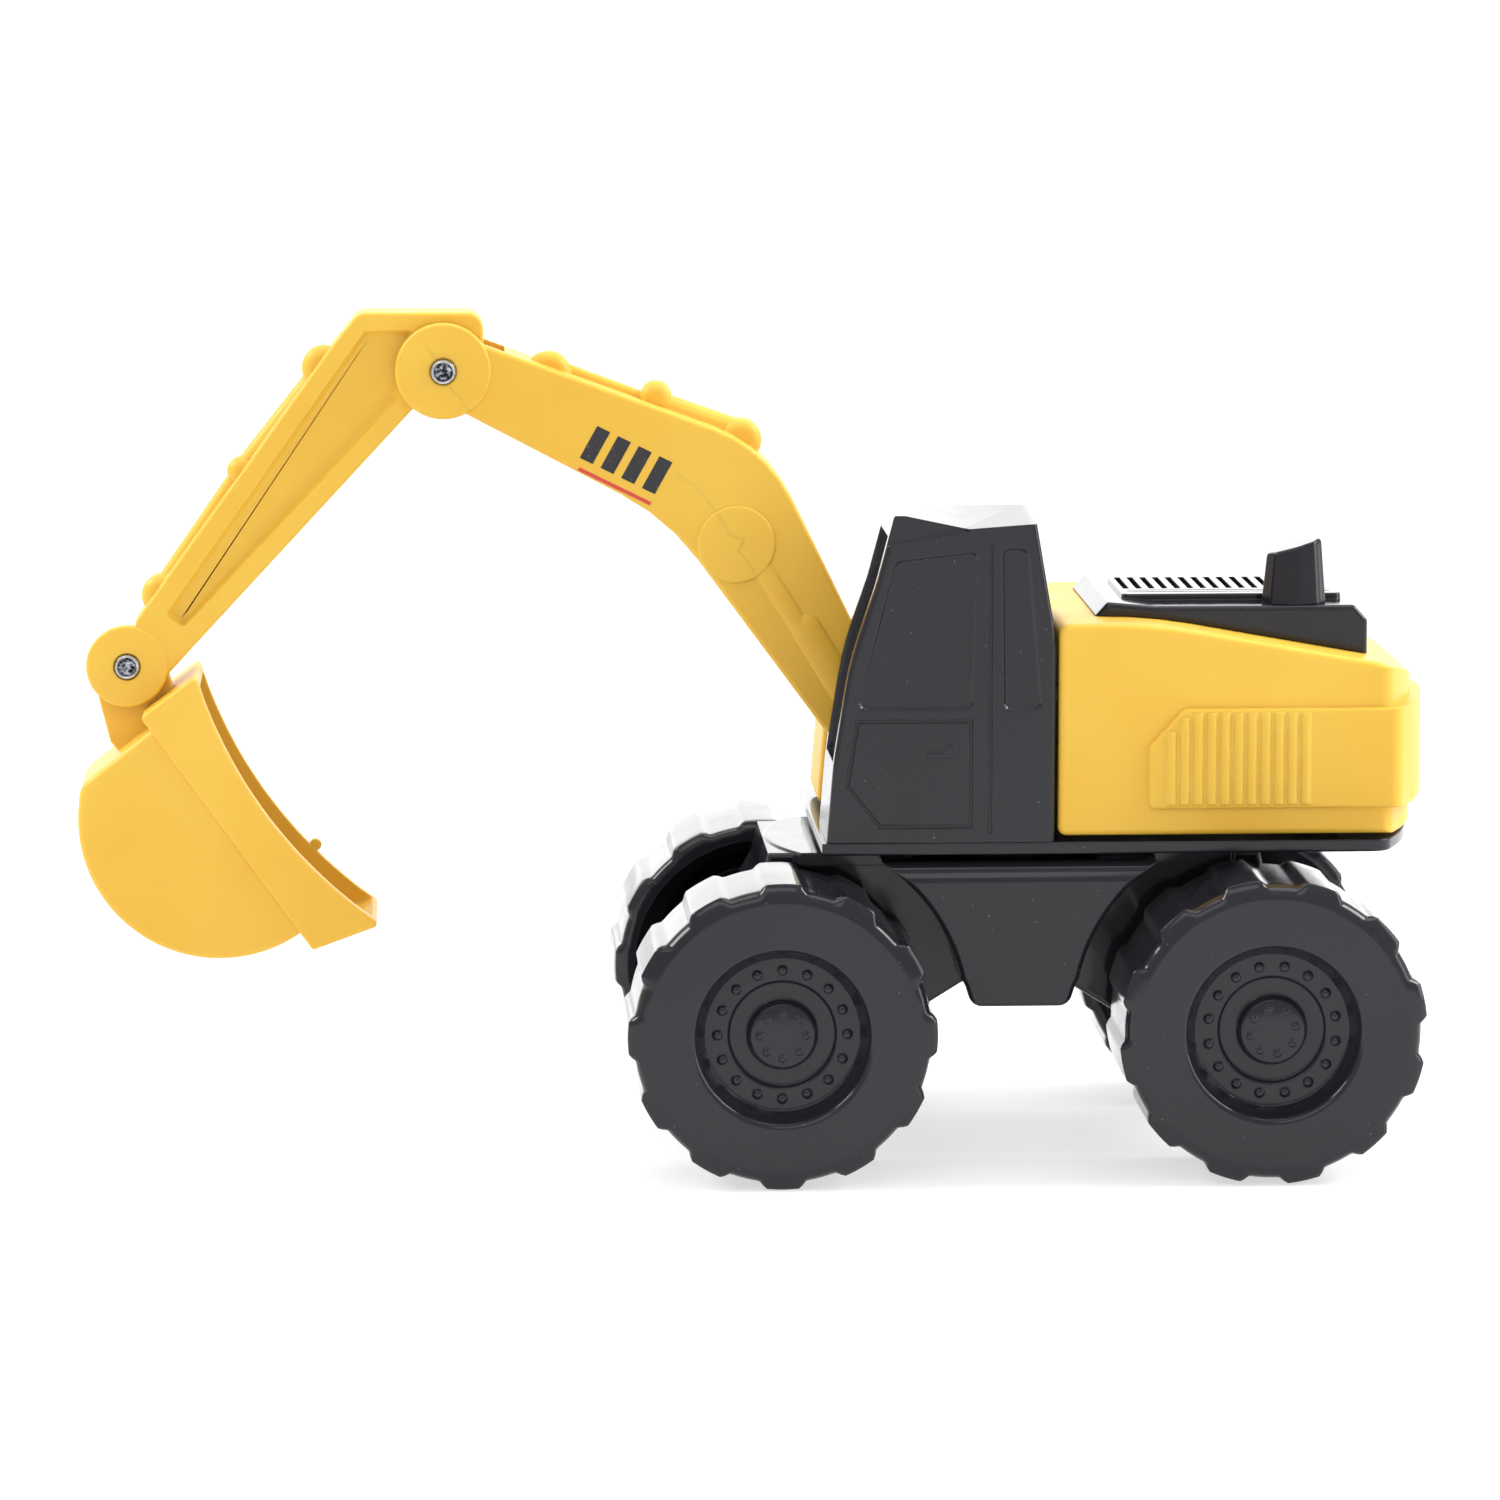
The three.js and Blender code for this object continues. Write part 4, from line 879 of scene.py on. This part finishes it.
def boom():
    outline = [
        (STICK_PIN[0] + 3, 139.4, 0), (-64.4, 119.1, 42), (BOOM_ROOT[0] - 7.4, BOOM_ROOT[1] - 4, 0),
        (BOOM_ROOT[0] + 1.6, BOOM_ROOT[1] + 3, 0), (-45.6, 132.3, 26), (STICK_PIN[0] + 4, 153, 0),
    ]
    w = BOOM_HALF
    arm = plate_y(rounded(outline), -w, w, 0.9)
    channel = []
    for i, (u, v, r) in enumerate(inset(outline, 3.2)):
        shift_u, shift_v = [(8, -16), (-6, -16), (-2, 22), (-10, 20), (0, 0), (9, -2.4)][i]
        channel.append((u + shift_u, v + shift_v, 42 if i == 1 else r if i == 4 else 0))
    hollow = plate_y(rounded(channel), -BOOM_GAP, BOOM_GAP)
    ends = [cross_rod(STICK_PIN, 8.9, -w - 0.7, w + 0.7, 0.5), cross_rod(BOOM_ROOT, 7, -w, w, 0.3)]
    relief = both_sides(
        plate_y(disc(ELBOW, 7.3), -w - 0.6, 1 - w, 0.5, 0),
        ridge((-46.4, 109.4), (-39.8, 99), 1.8, 0.5, -w),
        ridge((-38.3, 98.2), (-30.5, 85.5), 2.8, 0.6, -w),
    )
    solid = joined(cut(arm, hollow), *ends, *relief)
    ram = moulded_ram(
        ((-52, 134.7), (-65.5, 139.5), 2.6), ((-66, 139.6), (-86, 147.2), 1.5),
        [((-50.4, 133.1), 4.1), ((-66.1, 141.3), 2.95), ((-86.2, 145.6), 4.3)],
    )
    lines = [
        knit_line([(-62.6, 127.6), (-58.6, 124.7), (-56.4, 122.1), (-55.2, 120.4)], -w),
        knit_line([(-104.6, 143.8), (-102.8, 142), (-101.1, 139.6)], -w - 0.7),
        knit_line([(-109, 151.6), (-107.2, 149.3)], -w - 0.7),
        knit_line([(-55.1, 120.2), (-54.2, 118.8), (-52.9, 116.2), (-50.1, 115.1), (-51.1, 113.1), (-48.1, 109)], -w - 0.6),
    ]
    narrow = both_sides(plate_y(disc(BOOM_ROOT, 11), -w - 2, -BOOM_ROOT_HALF))
    fork = cross_rod(STICK_PIN, 12, -BOOM_GAP, BOOM_GAP)
    seats = both_sides(cross_rod(STICK_PIN, 2.55, -w - 1, -w - 0.1))
    bores = [cross_rod(at, 2.15, -20, 20) for at in (STICK_PIN, BOOM_ROOT)] + seats
    return gathered([cut(joined(solid, *ram), fork, *narrow, *bores), *lines])


STICK_SIDE = [
    (-163.9, 99.6, 2), (-158, 89.6, 0), (-111.5, 139.6, 0), (-104, 139.2, 0), (-98.2, 147, 0),
    (-98.4, 157.5, 3), (-121.6, 157.6, 3), (-126.4, 151.6, 3),
]
STICK_POCKET = [(-158, 101.2, 1.2), (-154.6, 98.8, 1.2), (-114.2, 141.6, 2), (-110.9, 154.2, 1.2), (-120.4, 154.2, 1.2)]


def stick():
    w = STICK_HALF
    arm = plate_y(rounded(STICK_SIDE), -w, w, 0.7)
    ends = [
        cross_rod(STICK_PIN, 8, -w, w, 0.4),
        cross_rod(BUCKET_PIN, 7.65, -w - 0.4, -STICK_GAP, 0.6),
        cross_rod(BUCKET_PIN, 6.4, STICK_GAP, w + 0.4, 0.6),
    ]
    outline = rounded(STICK_POCKET)
    rings = [(-w - 1, 0), (-w - 0.001, 0), (-w + 0.8, 0.25), (-w + 1.5, 0.8), (-w + 1.7, 1.5)]
    pockets = both_sides(skin([[(u, y, v) for u, v in shrunk(outline, d)] for y, d in rings]))
    ram = moulded_ram(
        ((-128, 147), (-143.4, 127.6), 2.1), ((-143.6, 127.6), (-159.6, 104.6), 1.7),
        [((-128, 147), 4.2), ((-143.5, 127.6), 2.8), ((-158.5, 104.5), 4)],
    )
    fork = plate_y(capsule(BUCKET_PIN, (BUCKET_PIN[0] - 9, BUCKET_PIN[1] - 6), 8.7), -STICK_GAP, STICK_GAP)
    seats = both_sides(cross_rod(BUCKET_PIN, 2.55, -w - 1, 0.3 - w))
    bores = [cross_rod(at, 2.15, -20, 20) for at in (STICK_PIN, BUCKET_PIN)] + seats
    return cut(joined(cut(joined(arm, *ends), *pockets), *ram), fork, *bores)


def mouth_edge():
    """The curved mouth edge of the bucket between its two ends, from the lip up."""
    lip, middle, top = Vector((-118.4, 43.6)), Vector((-143.2, 61.5)), Vector((-152.2, 90.3))
    points = []
    for k in range(25):
        t = 0.08 + 0.84 * k / 24
        points.append((*(lip * (1 - t) ** 2 + middle * 2 * t * (1 - t) + top * t * t), 0))
    return points


def bucket():
    back = [(*p, 0) for p in arc(SCOOP, SCOOP_RADIUS, 176, 304, 50)]
    bowl = plate_y(rounded(back + [(-131.5, 44.5, 0), (-158.5, 82.2, 0), (-174, 69.9, 4.6)]),
                   -BUCKET_HALF, BUCKET_HALF, 1.2)
    rim_corners = [(-162.6, 83, 0.8), (-131, 38.8, 0.8), (-118.1, 43.5, 0.8)] + mouth_edge() + [(-152.2, 90.6, 0.8)]
    rim = plate_y(rounded(rim_corners), -RIM_HALF, RIM_HALF, 0.5)
    inner = [(*p, 0) for p in arc(SCOOP, SCOOP_RADIUS - BUCKET_WALL, 176, 303, 50)]
    opening = [(-122, 43.6, 0), (-105, 52, 0), (-140, 96, 0), (-152.2, 88, 0), (-158, 80.3, 0)]
    room = plate_y(rounded(inner + opening + [(-172.4, 68.8, 3.4)]),
                   BUCKET_WALL - BUCKET_HALF, BUCKET_HALF - BUCKET_WALL, 0.6)
    ear_outline = arc(BUCKET_PIN, 6.9, 20, 200, 32) + [(-168.6, 77), (-166, 74), (-156.5, 85)]
    ear = plate_y(ear_outline, -EAR_HALF, EAR_HALF, 0.3)
    solid = joined(cut(joined(bowl, rim), room), ear)
    nub = turned_y([(0, RIM_HALF - 2.6), (1.1, RIM_HALF - 2.4), (1.2, RIM_HALF - 1.4), (0, RIM_HALF - 1.2)], (-130.6, 54.9), 16)
    return cut(joined(solid, nub), cross_rod(BUCKET_PIN, 2.15, -20, 20))


piece("boom_skin", boom(), "boom_arm", YELLOW, ["boom"])
piece("stick_skin", stick(), "stick_arm", YELLOW, ["stick"])
piece("bucket_skin", bucket(), "bucket_arm", YELLOW, ["bucket"])


def rivet(node, at, body, half_length):
    """A hollow rivet with a rolled bright head at each end, and a dark core in each hollow whose colour is painted
    shade flecked with painted reflections.
    """
    end = [(0, half_length - 1.6), (1.6, half_length - 1.6), (1.65, half_length - 0.4), (1.8, half_length - 0.1),
           (2.0, half_length), (2.2, half_length - 0.12), (2.32, half_length - 0.4), (2.3, half_length - 0.8),
           (2, half_length - 0.8)]
    profile = [(r, -y) for r, y in end] + [(r, y) for r, y in reversed(end)]
    piece(f"{node}_skin", turned_y(profile, at, 40), body, STEEL, [node])
    for name, side in (("near", -1), ("far", 1)):
        floor = half_length - 1.3
        rings = [(0, floor - 0.25), (1.62, floor - 0.25), (1.62, floor + 0.5), (1.3, floor + 0.2), (0.5, floor), (0, floor)]
        core = turned_y([(r, side * y) for r, y in rings], at, 32)
        # the core's dark colour is painted shade, flecked with painted reflections
        piece(f"{node}_hollow_{name}", core, body, SHADED_HOLLOW_STEEL)


rivet("stick_pin", STICK_PIN, "boom_arm", BOOM_HALF + 1.7)
rivet("bucket_pin", BUCKET_PIN, "stick_arm", STICK_HALF + 1)
pin = turned_y([(0, -8.8), (1.7, -8.8), (2, -8.5), (2, 8.5), (1.7, 8.8), (0, 8.8)], BOOM_ROOT, 32)
piece("boom_pin_skin", pin, "turret", STEEL, ["boom_pin"])


def boom_print():
    """Plain slanted bars with a stripe below them, printed on the boom's outer face."""
    origin = Vector((-77.2, 136.7))
    along = Vector((14.2, -7.0)).normalized()
    down = Vector((-3.4, -6.1)).normalized()

    def bar(start, width, top, bottom):
        corners = [(start, top), (start + width, top), (start + width, bottom), (start, bottom)]
        points = [tuple(origin + along * a + down * b) for a, b in corners]
        return plate_y(points, -BOOM_HALF - 0.03, -BOOM_HALF + 0.1)

    black = [bar(k * 4.3, 2.7, 0.2, 7) for k in range(4)]
    red = [bar(0.8, 15, 8.6, 9.3)]
    piece("boom_bars_print", gathered(black), "boom_arm", BLACK_INK)
    piece("boom_stripe_print", gathered(red), "boom_arm", RED_INK)


boom_print()

# ---------------------------------------------------------------- studio

ROOM_GLOW = 0.62
BACK_GLOW = 2.3


def studio_floor():
    """A white light table that reaches a little way behind the model."""
    mesh = bpy.data.meshes.new("floor")
    z = -BELLY_HEIGHT * MM
    near, back, side = -6, 1.7, 6
    mesh.from_pydata([(-side, near, z), (side, near, z), (side, back, z), (-side, back, z)], [], [(0, 1, 2, 3)])
    floor = bpy.data.objects.new("floor", mesh)
    bpy.context.scene.collection.objects.link(floor)
    g = Graph("floor")
    g.link(g.mix(g.noise(6, 2), linear(176, 176, 177), linear(182, 182, 182)), g.shader.inputs["Base Color"])
    g.shader.inputs["Roughness"].default_value = 0.75
    g.shader.inputs["Emission Color"].default_value = (1, 1, 1, 1)
    g.shader.inputs["Emission Strength"].default_value = 0.62
    mesh.materials.append(g.material)


def soft_box(name, at, size, power, aim):
    light = bpy.data.lights.new(name, "AREA")
    light.shape = "RECTANGLE"
    light.size, light.size_y = size
    light.energy = power
    item = bpy.data.objects.new(name, light)
    item.location = at
    item.rotation_euler = (Vector(aim) - Vector(at)).to_track_quat("-Z", "Y").to_euler()
    bpy.context.scene.collection.objects.link(item)


def backdrop():
    """A white room that is brightest straight behind the model."""
    world = bpy.data.worlds.new("studio")
    world.use_nodes = True
    tree = world.node_tree
    direction = tree.nodes.new("ShaderNodeTexCoord").outputs["Generated"]
    parts = tree.nodes.new("ShaderNodeSeparateXYZ")
    glow = tree.nodes.new("ShaderNodeMapRange")
    glow.interpolation_type = "SMOOTHSTEP"
    for key, value in (("From Min", 0.84), ("From Max", 0.95), ("To Min", ROOM_GLOW), ("To Max", BACK_GLOW)):
        glow.inputs[key].default_value = value
    tree.links.new(direction, parts.inputs["Vector"])
    tree.links.new(parts.outputs["Y"], glow.inputs["Value"])
    tree.links.new(glow.outputs["Result"], tree.nodes["Background"].inputs["Strength"])
    tree.nodes["Background"].inputs["Color"].default_value = (1, 1, 1, 1)
    bpy.context.scene.world = world


def lighting():
    soft_box("top_softbox", (0.1, 0.25, 1.3), (1.4, 1.1), 9, (0, 0, 0.05))
    soft_box("front_softbox", (-0.4, -1.4, 1.3), (1.4, 0.8), 5.5, (0, 0, 0.05))
    soft_box("rear_softbox", (1.3, -0.3, 0.35), (0.7, 0.7), 5, (0.05, 0, 0.04))
    soft_box("left_softbox", (-1.2, 0.1, 1.0), (0.9, 0.5), 15, (0, 0, 0.04))
    soft_box("right_softbox", (1.2, 0.1, 1.0), (0.9, 0.5), 17, (0, 0, 0.04))


def camera():
    data = bpy.data.cameras.new("camera")
    data.sensor_width = 36
    data.lens = 161.7
    data.clip_end = 100
    item = bpy.data.objects.new("camera", data)
    item.location = place(-114.31, -1257.40, 257.81)
    aim = place(-48.17, 4.49, 73.47)
    item.rotation_euler = (aim - item.location).to_track_quat("-Z", "Y").to_euler()
    bpy.context.scene.collection.objects.link(item)
    bpy.context.scene.camera = item


studio_floor()
backdrop()
lighting()
camera()
bpy.context.scene.view_settings.view_transform = "Standard"
